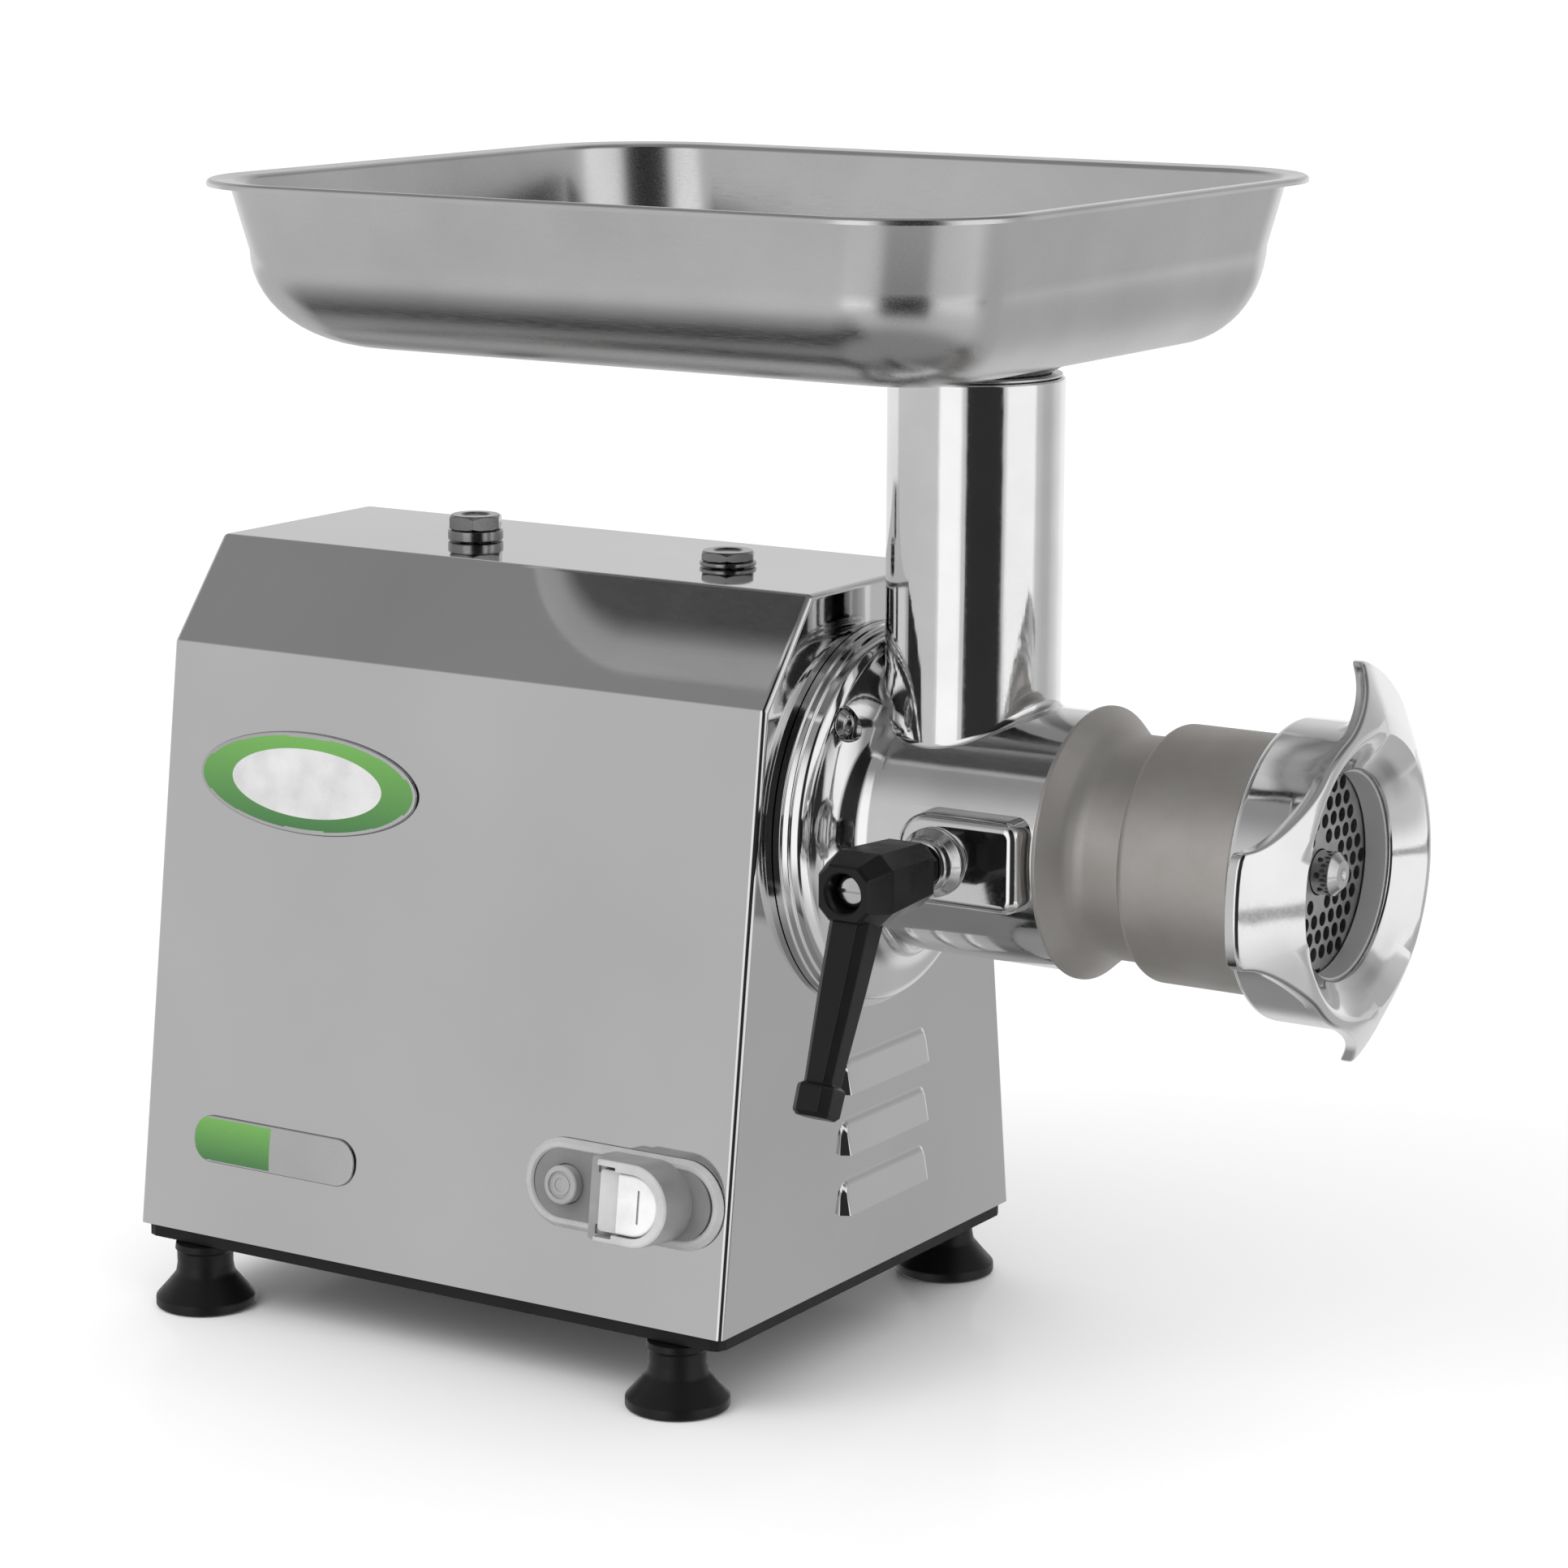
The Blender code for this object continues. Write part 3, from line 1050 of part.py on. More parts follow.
def capacitor():
    place = (HOUSING_CENTRE_X - 0.030, 0.018, 0.2000)
    piece = rod("capacitor", -0.045, 0.045, 0.0190, place, FINE, chamfer=0.002)
    return node(piece, "white_plastic", True)


# ---- assembly ----------------------------------------------------------------------------
def build():
    housing_shell()
    base_plate()
    for front, x in (("rear", FOOT_X[0]), ("front", FOOT_X[1])):
        for side, sign in (("near", -1), ("far", 1)):
            foot("foot_%s_%s" % (front, side), x, sign)
    washer("roof_washer_rear", TOP_BOLTS_X[0], 0.0036)
    roof_bolt("roof_bolt_rear", TOP_BOLTS_X[0], 0.0036, 0.0062)
    washer("roof_washer_front", TOP_BOLTS_X[1], 0.0016)
    roof_bolt("roof_bolt_front", TOP_BOLTS_X[1], 0.0016, 0.0045)
    oval_badge()
    pill_badge()
    switch_bezel()
    switch_body()
    start_button()
    stop_button()
    cable_gland()
    head_casting()
    for index in range(4):
        flange_screw(index)
    stud()
    lever_handle()
    lever_screw()
    mouth()
    auger()
    knife()
    perforated_plate()
    plate_key()
    spacer_ring()
    ring_nut()
    tray()
    tray_spout()
    gears()
    gearbox_case()
    gearbox_cover()
    output_shaft()
    countershaft()
    bearing("output_front_bearing", CASE_FRONT - 0.0065, 0.0060, 0.0150 + 2 * GAP, 0.0210, AXIS_Z)
    bearing("output_rear_bearing", CASE_BACK - CASE_WALL, 0.0065, 0.0100 + GAP, 0.0159, AXIS_Z)
    bearing("countershaft_rear_bearing", CASE_BACK - CASE_WALL, 0.0065, SHAFT_RADIUS + GAP, 0.0157,
            COUNTERSHAFT_Z)
    motor()
    capacitor()


build()
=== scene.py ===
"""Looks of the electric meat grinder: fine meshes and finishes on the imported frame.

Metres throughout. +X is the auger axis and points to the outlet, +Z is up, and -Y is the
operator's side. Moulded, cast, turned and pressed pieces are rebuilt finely at the frame's
sizes, and the pieces inside the housing keep their frame meshes and get new finishes.
"""

import math

import bmesh
import bpy
from mathutils import Matrix, Vector

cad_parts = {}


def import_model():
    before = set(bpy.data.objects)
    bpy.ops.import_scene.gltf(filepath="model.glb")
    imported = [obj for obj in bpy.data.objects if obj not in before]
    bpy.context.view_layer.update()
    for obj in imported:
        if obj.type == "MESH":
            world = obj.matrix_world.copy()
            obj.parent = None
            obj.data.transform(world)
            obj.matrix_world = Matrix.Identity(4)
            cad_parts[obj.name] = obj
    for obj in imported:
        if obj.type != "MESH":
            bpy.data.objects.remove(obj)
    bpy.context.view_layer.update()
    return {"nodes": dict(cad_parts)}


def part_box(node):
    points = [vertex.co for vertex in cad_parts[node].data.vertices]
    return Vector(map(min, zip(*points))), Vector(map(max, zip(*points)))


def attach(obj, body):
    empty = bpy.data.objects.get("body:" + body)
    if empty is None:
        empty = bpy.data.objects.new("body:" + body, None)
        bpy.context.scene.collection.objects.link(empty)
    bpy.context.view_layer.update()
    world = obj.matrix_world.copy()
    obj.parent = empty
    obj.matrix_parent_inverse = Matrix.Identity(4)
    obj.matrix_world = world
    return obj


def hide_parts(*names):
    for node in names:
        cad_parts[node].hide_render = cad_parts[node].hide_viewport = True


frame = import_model()


# ---- sizes: read from the frame, or restated from the model's driving dimensions -----------
def middle(node):
    low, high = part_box(node)
    return (low + high) / 2


GAP = 0.0003
SHELL_LOW, SHELL_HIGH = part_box("housing_shell")
BASE_INSET = 0.0015
REAR_X = SHELL_LOW.x
FRONT_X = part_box("base_plate")[1].x + BASE_INSET
BOTTOM_Z = SHELL_LOW.z
TOP_Z = SHELL_HIGH.z
BOTTOM_HALF = SHELL_HIGH.y
KNEE_Z = 0.2283
KNEE_HALF = 0.0681
TOP_HALF = 0.0408
SHEET = 0.0015
FOLD = 0.0023                     # outside radius of the shell's folds
PANEL_TILT = math.atan2(BOTTOM_HALF - KNEE_HALF, KNEE_Z - BOTTOM_Z)

AXIS_Z = middle("mouth_sleeve").z
AXIS = Vector((FRONT_X, 0, AXIS_Z))   # distances "ahead" start from here, along +X
BARREL_RADIUS = 0.042
BARREL_BORE = 0.0343
BARREL_END = 0.0824
FLANGE_RADIUS = 0.0640
HUB_RADIUS = 0.0555
SCREW_CIRCLE = 0.0520
TUBE_X = middle("tray_spout").x
TUBE_RADIUS = 0.0285
TUBE_BORE = 0.0262
TUBE_TOP_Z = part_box("head_casting")[1].z
STUD_X = middle("clamp_stud").x
STUD_Z = middle("clamp_stud").z
BOSS_FACE = 0.0500
STUD = Vector((STUD_X, 0, STUD_Z))
LEVER_NECK = 0.0585               # distances outwards from the auger axis, along -Y
LEVER_HEAD = 0.0650
LEVER_FACE = 0.1045

LOUVRE_Y = (-0.0215, 0.0335)
LOUVRE_Z = (0.0570, 0.0777, 0.0984)
LOUVRE_HEIGHT = 0.0122
LOUVRE_DEPTH = 0.0032
LOUVRE_CORNER = 0.0040            # radius of the hoods' upper corners
LOUVRE_RAMP = 0.0024              # width of the pressed slope round a hood

MOUTH_SLEEVE = 0.0340
MOUTH_BORE = 0.0290
MOUTH_FLARE = 0.0441
MOUTH_NECK = 0.0362
MOUTH_BODY = 0.0413
MOUTH_THREAD = 0.0398
PLATE_SEAT = 0.0354
PLATE_RADIUS = 0.0350
PLATE_THICK = 0.0080
PLATE_AHEAD = 0.1530
PLATE_HOLE = 0.0023
PLATE_PITCH = 0.0060
PIN_RADIUS = 0.0070
PIN_END = 0.1690

NUT_BACK = 0.1508
NUT_LIP = 0.1700
NUT_CREST = 0.1780
NUT_RADIUS = 0.0478
NUT_OPENING = 0.0330
NUT_THREAD = 0.0403
NUT_DISH = 0.0400                 # radius at which the dish gives way to the lugs' surface
WING_COUNT = 3
WING_REACH = 0.0675
WING_TIP = 0.1635
WING_THICK = 0.0045

AUGER_RADIUS = 0.0280
AUGER_CORE = 0.0110
AUGER_PITCH = 0.0360
AUGER_START = 0.026
AUGER_END = 0.1425
FLIGHT_FOOT = math.radians(32)    # half the flight's foot, as an angle round the axis
SQUARE_DRIVE = 0.0140

TRAY_LOW, TRAY_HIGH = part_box("tray")
TRAY_CORNER = 0.0467
TRAY_FLOOR_Z = 0.3330
TRAY_EDGE_Z = 0.3375              # the floor at its edge; it falls to TRAY_FLOOR_Z at the hole
TRAY_RIM = 0.0085
TRAY_DRAFT = 0.0040
TRAY_BEND_WIDTH = 0.0340
TRAY_BEND_HEIGHT = 0.0300
TRAY_FRONT_SHARE = 0.62           # width of the outlet end's bend over the other bends'
TRAY_CORNER_CLOSING = 0.55        # how fast the corner radius falls along the bend
TRAY_SHEET = 0.0012
TRAY_HOLE = 0.0240
SPOUT_RADIUS = 0.0256

SWITCH_X = middle("switch_bezel").x
SWITCH_UP = 0.0418                # up the sloping panel from its lower edge
SWITCH_HALF = (0.0385, 0.0148)
COLLAR = (-0.0042, 0.0275, 0.0136)     # left, right and half height, from the switch's centre
START = (0.0005, 0.0240, 0.0100)
START_FLAP = 0.0085               # where the start button's lower flap ends
INSERT_FACE = 0.0022              # heights above the panel
COLLAR_TOP = 0.0180
STOP_X = -0.0215
STOP_RADIUS = 0.0064

CAMERA_PLACE = (0.791426, -1.262450, 0.495114)
CAMERA_AZIMUTH = math.radians(32.1435)
CAMERA_DROP = math.radians(11.5924)
CAMERA_ROLL = math.radians(0.2515)
CAMERA_LENS = 104.90

# The studio as polished metal sees it, in degrees: bearings turn from +X towards +Y, and heights
# rise from the horizon. Each patch is (light added, (from, to, softness) round, the same upwards).
STUDIO_LIGHT = 0.62
STUDIO_PATCHES = (
    (-0.33, None, (31, 400, 15)),                     # dim ceiling
    (-0.34, None, (-400, -46, 10)),                   # dim floor right below
    (-0.30, (-172, -98, 10), (-58, -32, 7)),          # dim floor on the operator's side
    (-0.13, (34, 78, 8), None),                       # shaded far wall by the outlet
    (0.10, (80, 128, 14), None),                      # bright far wall
    (0.26, (60, 185, 12), (-12, 6.5, 2)),             # bright far horizon
    (0.50, (-108, -78, 3), (-24, 42, 8)),             # soft box on the operator's side
    (0.42, (-20, 24, 3), (-24, 42, 8)),               # soft box at the outlet's end
    (-0.62, (-30, 34, 4), (-15.5, -12, 0.8)),         # dark stripe under it
)
STUDIO_GAP = ((-72, -25, 2), (-34, 62, 6))            # dark gap between the soft boxes
GAP_SHADE = 0.95

TURN = 128                        # segments round the large turned pieces
SMALL = 48                        # segments round the small ones


# ---- mesh helpers ------------------------------------------------------------------------
def keep(name, bm):
    """Weld and orient a bmesh and link it as an object."""
    bmesh.ops.remove_doubles(bm, verts=bm.verts, dist=1e-7)
    bmesh.ops.dissolve_degenerate(bm, edges=bm.edges, dist=1e-8)
    bmesh.ops.recalc_face_normals(bm, faces=bm.faces)
    mesh = bpy.data.meshes.new(name)
    bm.to_mesh(mesh)
    bm.free()
    made = bpy.data.objects.new(name, mesh)
    bpy.context.scene.collection.objects.link(made)
    return made


def skin(name, rings, around=True, along=False, caps=False, place=None):
    """Join rows of points with quads; around closes each row, along joins the last to the first."""
    bm = bmesh.new()
    rows = [[bm.verts.new(point) for point in ring] for ring in rings]
    following = rows[1:] + rows[:1] if along else rows[1:]
    for row, after in zip(rows, following):
        for i in range(len(row) if around else len(row) - 1):
            j = (i + 1) % len(row)
            bm.faces.new((row[i], row[j], after[j], after[i]))
    if caps:
        bm.faces.new(rows[0])
        bm.faces.new(rows[-1])
    if place is not None:
        bmesh.ops.transform(bm, verts=bm.verts, matrix=place)
    return keep(name, bm)


def rounded(outline, radius, steps=5, closed=True):
    """Turn each corner of an outline into an arc. The radius is one number, or one per corner."""
    count = len(outline)
    points = []
    for i, (x, y) in enumerate(outline):
        size = radius[i] if isinstance(radius, (list, tuple)) else radius
        if size <= 0 or (not closed and i in (0, count - 1)):
            points.append((x, y))
            continue
        corner = Vector((x, y))
        back = Vector(outline[i - 1]) - corner
        on = Vector(outline[(i + 1) % count]) - corner
        half = back.angle(on) / 2
        if math.pi / 2 - half < 0.01:
            points.append((x, y))
            continue
        reach = min(size / math.tan(half), 0.48 * back.length, 0.48 * on.length)
        arc = reach * math.tan(half)
        centre = corner + (back.normalized() + on.normalized()).normalized() * arc / math.sin(half)
        first = corner + back.normalized() * reach - centre
        last = corner + on.normalized() * reach - centre
        start = math.atan2(first.y, first.x)
        sweep = (math.atan2(last.y, last.x) - start + math.pi) % math.tau - math.pi
        for step in range(steps + 1):
            angle = start + sweep * step / steps
            points.append((centre.x + arc * math.cos(angle), centre.y + arc * math.sin(angle)))
    return points


AXES = {"X": Matrix.Identity(3), "Y": Matrix.Rotation(-math.pi / 2, 3, "Z"),
        "Z": Matrix.Rotation(-math.pi / 2, 3, "Y")}


def revolve(name, outline, at, axis="X", segments=TURN):
    """Turn (distance along the axis, radius) points round the X, -Y or Z axis through at."""
    closed = not (abs(outline[0][1]) < 1e-9 and abs(outline[-1][1]) < 1e-9)
    rings = []
    for i in range(segments):
        angle = math.tau * i / segments
        rings.append([(along, radius * math.cos(angle), radius * math.sin(angle))
                      for along, radius in outline])
    place = Matrix.Translation(at) @ AXES[axis].to_4x4()
    return skin(name, rings, around=closed, along=True, place=place)


def rod(name, start, end, radius, at, axis="X", segments=SMALL, edge=0.0):
    """A round bar, its ends rounded when asked."""
    outline = [(start, 0.0), (start, radius), (end, radius), (end, 0.0)]
    if edge:
        outline = rounded(outline, edge, 4, closed=False)
    return revolve(name, outline, at, axis, segments)


def prism(name, outline, low, high, place, edge=0.0, steps=4):
    """Raise an (x, y) outline from low to high along z; edge rounds the rim of the top."""
    rings = [[(x, y, low) for x, y in outline]]
    if edge:
        for step in range(steps + 1):
            angle = math.pi / 2 * step / steps
            inset = edge * (1 - math.cos(angle))
            rings.append([(x, y, high - edge + edge * math.sin(angle)) for x, y in shrunk(outline, inset)])
    else:
        rings.append([(x, y, high) for x, y in outline])
    return skin(name, rings, caps=True, place=place)


def shrunk(outline, inset):
    """Move an anticlockwise outline inwards along its own normals."""
    points = []
    for i, here in enumerate(outline):
        before, after = Vector(outline[i - 1]), Vector(outline[(i + 1) % len(outline)])
        first = (Vector(here) - before).normalized()
        second = (after - Vector(here)).normalized()
        inward = Vector((-first.y - second.y, first.x + second.x))
        inward.normalize()
        stretch = 1 / max(inward.dot(Vector((-first.y, first.x))), 0.4)
        points.append((here[0] + inward.x * inset * stretch, here[1] + inward.y * inset * stretch))
    return points


def bake(piece):
    """Replace a piece's mesh with the result of its modifiers."""
    graph = bpy.context.evaluated_depsgraph_get()
    mesh = bpy.data.meshes.new_from_object(piece.evaluated_get(graph))
    piece.modifiers.clear()
    piece.data = mesh
    return piece


def combine(piece, other, operation="DIFFERENCE"):
    """Cut a helper solid from a piece, or join it on, and drop the helper."""
    change = piece.modifiers.new("combine", "BOOLEAN")
    change.operation = operation
    change.solver = "EXACT"
    change.object = other
    bake(piece)
    bpy.data.objects.remove(other, do_unlink=True)
    return piece


def soften(piece, width, segments=3, angle=35):
    change = piece.modifiers.new("soften", "BEVEL")
    change.width = width
    change.segments = segments
    change.limit_method = "ANGLE"
    change.angle_limit = math.radians(angle)
    return bake(piece)


def circle(radius, count=SMALL, centre=(0.0, 0.0), phase=0.0):
    angles = [phase + math.tau * i / count for i in range(count)]
    return [(centre[0] + radius * math.cos(a), centre[1] + radius * math.sin(a)) for a in angles]


def stadium(half_length, half_height, steps=24):
    """An oblong with round ends, centred on the origin."""
    reach = half_length - half_height
    points = []
    for side, start in ((1, -math.pi / 2), (-1, math.pi / 2)):
        for i in range(steps + 1):
            angle = start + math.pi * i / steps
            points.append((side * reach + half_height * math.cos(angle), half_height * math.sin(angle)))
    return points


def d_shape(left, right, half, corner=0.0012, steps=24):
    """A rectangle with small left corners and a half-round right end, anticlockwise."""
    points = []
    for i in range(steps + 1):
        angle = -math.pi / 2 + math.pi * i / steps
        points.append((right - half + half * math.cos(angle), half * math.sin(angle)))
    for centre_y, quarter in ((half - corner, 1), (-half + corner, 2)):
        for i in range(5):
            angle = math.pi / 2 * (quarter + i / 4)
            points.append((left + corner + corner * math.cos(angle), centre_y + corner * math.sin(angle)))
    return points


def frame_at(origin, right, up):
    """A placing matrix whose z axis is right x up."""
    right, up = Vector(right).normalized(), Vector(up).normalized()
    out = right.cross(up)
    rows = [(right[i], up[i], out[i], origin[i]) for i in range(3)]
    return Matrix(rows + [(0, 0, 0, 1)])


def on_panel(x, up, out=0.0):
    """Frame on the sloping -Y panel: local x along the machine, y up the panel, z outwards."""
    upward = Vector((0, math.sin(PANEL_TILT), math.cos(PANEL_TILT)))
    outward = Vector((0, -math.cos(PANEL_TILT), math.sin(PANEL_TILT)))
    centre = Vector((x, -BOTTOM_HALF, BOTTOM_Z)) + up * upward + out * outward
    return frame_at(centre, (1, 0, 0), upward)


def pierced(name, loops, low, high, place):
    """Fill the first loop, leave the other loops open, and raise it from low to high along z."""
    curve = bpy.data.curves.new(name, "CURVE")
    curve.dimensions = "2D"
    curve.fill_mode = "BOTH"
    curve.extrude = (high - low) / 2
    for loop in loops:
        spline = curve.splines.new("POLY")
        spline.points.add(len(loop) - 1)
        for point, (x, y) in zip(spline.points, loop):
            point.co = (x, y, 0.0, 1.0)
        spline.use_cyclic_u = True
    source = bpy.data.objects.new(name + "_outline", curve)
    bpy.context.scene.collection.objects.link(source)
    graph = bpy.context.evaluated_depsgraph_get()
    mesh = bpy.data.meshes.new_from_object(source.evaluated_get(graph))
    bpy.data.objects.remove(source, do_unlink=True)
    bm = bmesh.new()
    bm.from_mesh(mesh)
    shift = Matrix.Translation((0, 0, (low + high) / 2))
    bmesh.ops.transform(bm, verts=bm.verts, matrix=place @ shift)
    return keep(name, bm)


def paint(piece, finishes, place, pick):
    """Give each face the finish that pick chooses from its centre in the place's own frame."""
    for finish in finishes:
        piece.data.materials.append(finish)
    turn = place.inverted()
    for face in piece.data.polygons:
        face.material_index = pick(*(turn @ face.center))


def show(piece, body, slot, finish, *nodes, angle=28):
    """Finish a piece: shading, material, the body it rides on and the nodes it stands for."""
    for face in piece.data.polygons:
        face.use_smooth = True
    piece.data.set_sharp_from_angle(angle=math.radians(angle))
    if not piece.data.materials:
        piece.data.materials.append(finish)
    flat = piece.modifiers.new("flat_faces", "WEIGHTED_NORMAL")
    flat.keep_sharp = True
    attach(piece, body)
    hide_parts(*nodes)
    return piece


# ---- finishes ----------------------------------------------------------------------------
class Finish:
    """A Principled material with small calls for the node patterns that the pieces share."""

    def __init__(self, name, colour, metallic=0.0, roughness=0.5, **constants):
        self.material = bpy.data.materials.new(name)
        self.material.use_nodes = True
        self.tree = self.material.node_tree
        self.shader = self.tree.nodes["Principled BSDF"]
        self.set("Base Color", (*colour, 1.0))
        self.set("Metallic", metallic)
        self.set("Roughness", roughness)
        for key, value in constants.items():
            self.set(key.replace("_", " ").title().replace("Ior", "IOR"), value)

    def set(self, socket, value):
        self.shader.inputs[socket].default_value = value

    def add(self, kind, **values):
        made = self.tree.nodes.new(kind)
        for key, value in values.items():
            setattr(made, key, value)
        return made

    def link(self, source, target):
        self.tree.links.new(source, target)

    def place(self, scale=(1, 1, 1), turn=(0, 0, 0)):
        """Object coordinates in metres, stretched and turned."""
        source = self.add("ShaderNodeTexCoord")
        mapping = self.add("ShaderNodeMapping")
        mapping.inputs["Scale"].default_value = scale
        mapping.inputs["Rotation"].default_value = turn
        self.link(source.outputs["Object"], mapping.inputs["Vector"])
        return mapping.outputs["Vector"]

    def noise(self, scale, detail=3.0, stretch=(1, 1, 1), distortion=0.0):
        made = self.add("ShaderNodeTexNoise")
        made.inputs["Scale"].default_value = scale
        made.inputs["Detail"].default_value = detail
        made.inputs["Distortion"].default_value = distortion
        self.link(self.place(stretch), made.inputs["Vector"])
        return made.outputs["Fac"]

    def spread(self, value, low, high, start=0.3, end=0.7):
        """Map start..end of a pattern to low..high."""
        made = self.add("ShaderNodeMapRange")
        for socket, number in (("From Min", start), ("From Max", end), ("To Min", low), ("To Max", high)):
            made.inputs[socket].default_value = number
        self.link(value, made.inputs["Value"])
        return made.outputs["Result"]

    def tint(self, value, dark, light):
        """Colour that runs from dark to light with a 0..1 pattern."""
        made = self.add("ShaderNodeMix", data_type="RGBA")
        made.inputs["A"].default_value = (*dark, 1.0)
        made.inputs["B"].default_value = (*light, 1.0)
        self.link(value, made.inputs["Factor"])
        self.link(made.outputs["Result"], self.shader.inputs["Base Color"])
        return self

    def rough(self, value):
        self.link(value, self.shader.inputs["Roughness"])
        return self

    def bump(self, *layers):
        """Stack (height, strength, distance) layers on the shader's normal."""
        normal = None
        for height, strength, distance in layers:
            made = self.add("ShaderNodeBump")
            made.inputs["Strength"].default_value = strength
            made.inputs["Distance"].default_value = distance
            self.link(height, made.inputs["Height"])
            if normal is not None:
                self.link(normal, made.inputs["Normal"])
            normal = made.outputs["Normal"]
        self.link(normal, self.shader.inputs["Normal"])
        return self


def grey(value, warm=0.0):
    return (value * (1 + warm), value, value * (1 - warm))


def mirror_stainless():
    """Polished sheet: nearly a mirror, a little clouded, with hair-fine marks along the machine."""
    f = Finish("mirror_stainless", grey(0.70), 1.0, 0.05)
    cloud = f.noise(9.0, 4.0)
    marks = f.noise(60.0, 6.0, (1.0, 30.0, 30.0))
    f.tint(f.spread(cloud, 0.0, 1.0), grey(0.66), grey(0.72))
    f.rough(f.spread(marks, 0.035, 0.085))
    return f.bump((f.noise(14.0, 1.0), 0.10, 0.0006), (marks, 0.02, 0.00004)).material


def polished_aluminium():
    """Buffed casting: soft ripples left by the wheel, and fine swirls."""
    f = Finish("polished_aluminium", grey(0.82), 1.0, 0.06)
    ripple = f.noise(38.0, 2.0)
    swirl = f.noise(900.0, 5.0, distortion=0.6)
    f.tint(f.spread(f.noise(30.0, 4.0), 0.0, 1.0), grey(0.76), grey(0.86))
    f.rough(f.spread(swirl, 0.05, 0.12))
    return f.bump((ripple, 0.22, 0.0006), (swirl, 0.03, 0.00003)).material


def satin_aluminium():
    """Blasted and turned aluminium, warm grey, with a fine tool line round it."""
    f = Finish("satin_aluminium", grey(0.60, 0.04), 1.0, 0.56)
    grain = f.noise(2600.0, 3.0)
    turned = f.noise(1.0, 2.0, (2200.0, 1.0, 1.0))
    f.tint(f.spread(f.noise(45.0, 5.0), 0.0, 1.0), grey(0.55, 0.045), grey(0.65, 0.035))
    f.rough(f.spread(grain, 0.50, 0.62))
    return f.bump((turned, 0.05, 0.00006), (grain, 0.10, 0.00005)).material


def satin_stainless(name="satin_stainless", value=0.56, low=0.27, high=0.38, metallic=1.0):
    """Pressed sheet with a soft drawn grain along the machine."""
    f = Finish(name, grey(value), metallic, (low + high) / 2)
    grain = f.noise(160.0, 6.0, (1.0, 14.0, 14.0))
    f.tint(f.spread(f.noise(14.0, 4.0), 0.0, 1.0), grey(value * 0.90), grey(value * 1.08))
    f.rough(f.spread(grain, low, high))
    return f.bump((f.noise(9.0, 1.0), 0.08, 0.0012), (grain, 0.04, 0.00006)).material


def steel(name="steel", value=0.50, low=0.16, high=0.30):
    """Machined steel with a light grain and slight clouding."""
    f = Finish(name, grey(value), 1.0, (low + high) / 2)
    grain = f.noise(1400.0, 4.0)
    f.tint(f.spread(f.noise(90.0, 4.0), 0.0, 1.0), grey(value * 0.82), grey(value * 1.10))
    f.rough(f.spread(grain, low, high))
    return f.bump((grain, 0.08, 0.00004)).material


def moulded(name, colour, low, high, grain_scale=1500.0, strength=0.12, **constants):
    """Moulded plastic or rubber with a fine sparkle of grain and slight unevenness."""
    f = Finish(name, colour, 0.0, (low + high) / 2, **constants)
    grain = f.noise(grain_scale, 3.0)
    shade = tuple(channel * 0.86 for channel in colour)
    light = tuple(min(channel * 1.10, 1.0) for channel in colour)
    f.tint(f.spread(f.noise(70.0, 4.0), 0.0, 1.0), shade, light)
    f.rough(f.spread(f.noise(120.0, 4.0), low, high))
    return f.bump((grain, strength, 0.00006)).material


def green_enamel(name, node):
    """Green resin label: a slow change of shade up the badge under a clear coat."""
    f = Finish(name, (0.05, 0.26, 0.05), 0.0, 0.22, coat_weight=1.0, coat_roughness=0.04)
    position = f.add("ShaderNodeSeparateXYZ")
    f.link(f.place(), position.inputs["Vector"])
    low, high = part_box(node)
    height = f.spread(position.outputs["Z"], 0.0, 1.0, low.z, high.z)
    f.tint(height, (0.022, 0.130, 0.028), (0.130, 0.360, 0.060))
    f.rough(f.spread(f.noise(300.0, 3.0), 0.18, 0.30))
    return f.bump((f.noise(60.0, 2.0), 0.05, 0.0002)).material


def cast_iron():
    f = Finish("cast_iron", grey(0.16), 0.5, 0.6)
    sand = f.noise(700.0, 6.0)
    f.tint(f.spread(f.noise(60.0, 5.0), 0.0, 1.0), grey(0.11), grey(0.21))
    f.rough(f.spread(sand, 0.5, 0.75))
    return f.bump((sand, 0.5, 0.0003)).material


def copper_winding():
    """Enamelled copper wire, wound in fine turns."""
    f = Finish("copper_winding", (0.60, 0.28, 0.12), 0.9, 0.35, coat_weight=0.4)
    turns = f.noise(1.0, 1.0, (60.0, 2600.0, 60.0))
    f.tint(f.spread(turns, 0.0, 1.0), (0.36, 0.14, 0.05), (0.72, 0.36, 0.16))
    f.rough(f.spread(turns, 0.28, 0.45))
    return f.bump((turns, 0.6, 0.0004)).material


def lamination():
    """Edges of stacked core plates."""
    f = Finish("lamination", grey(0.30), 0.9, 0.4)
    plates = f.noise(1.0, 0.0, (1900.0, 0.5, 0.5))
    f.tint(f.spread(plates, 0.0, 1.0), grey(0.20), grey(0.36))
    f.rough(f.spread(plates, 0.35, 0.55))
    return f.bump((plates, 0.5, 0.0003)).material


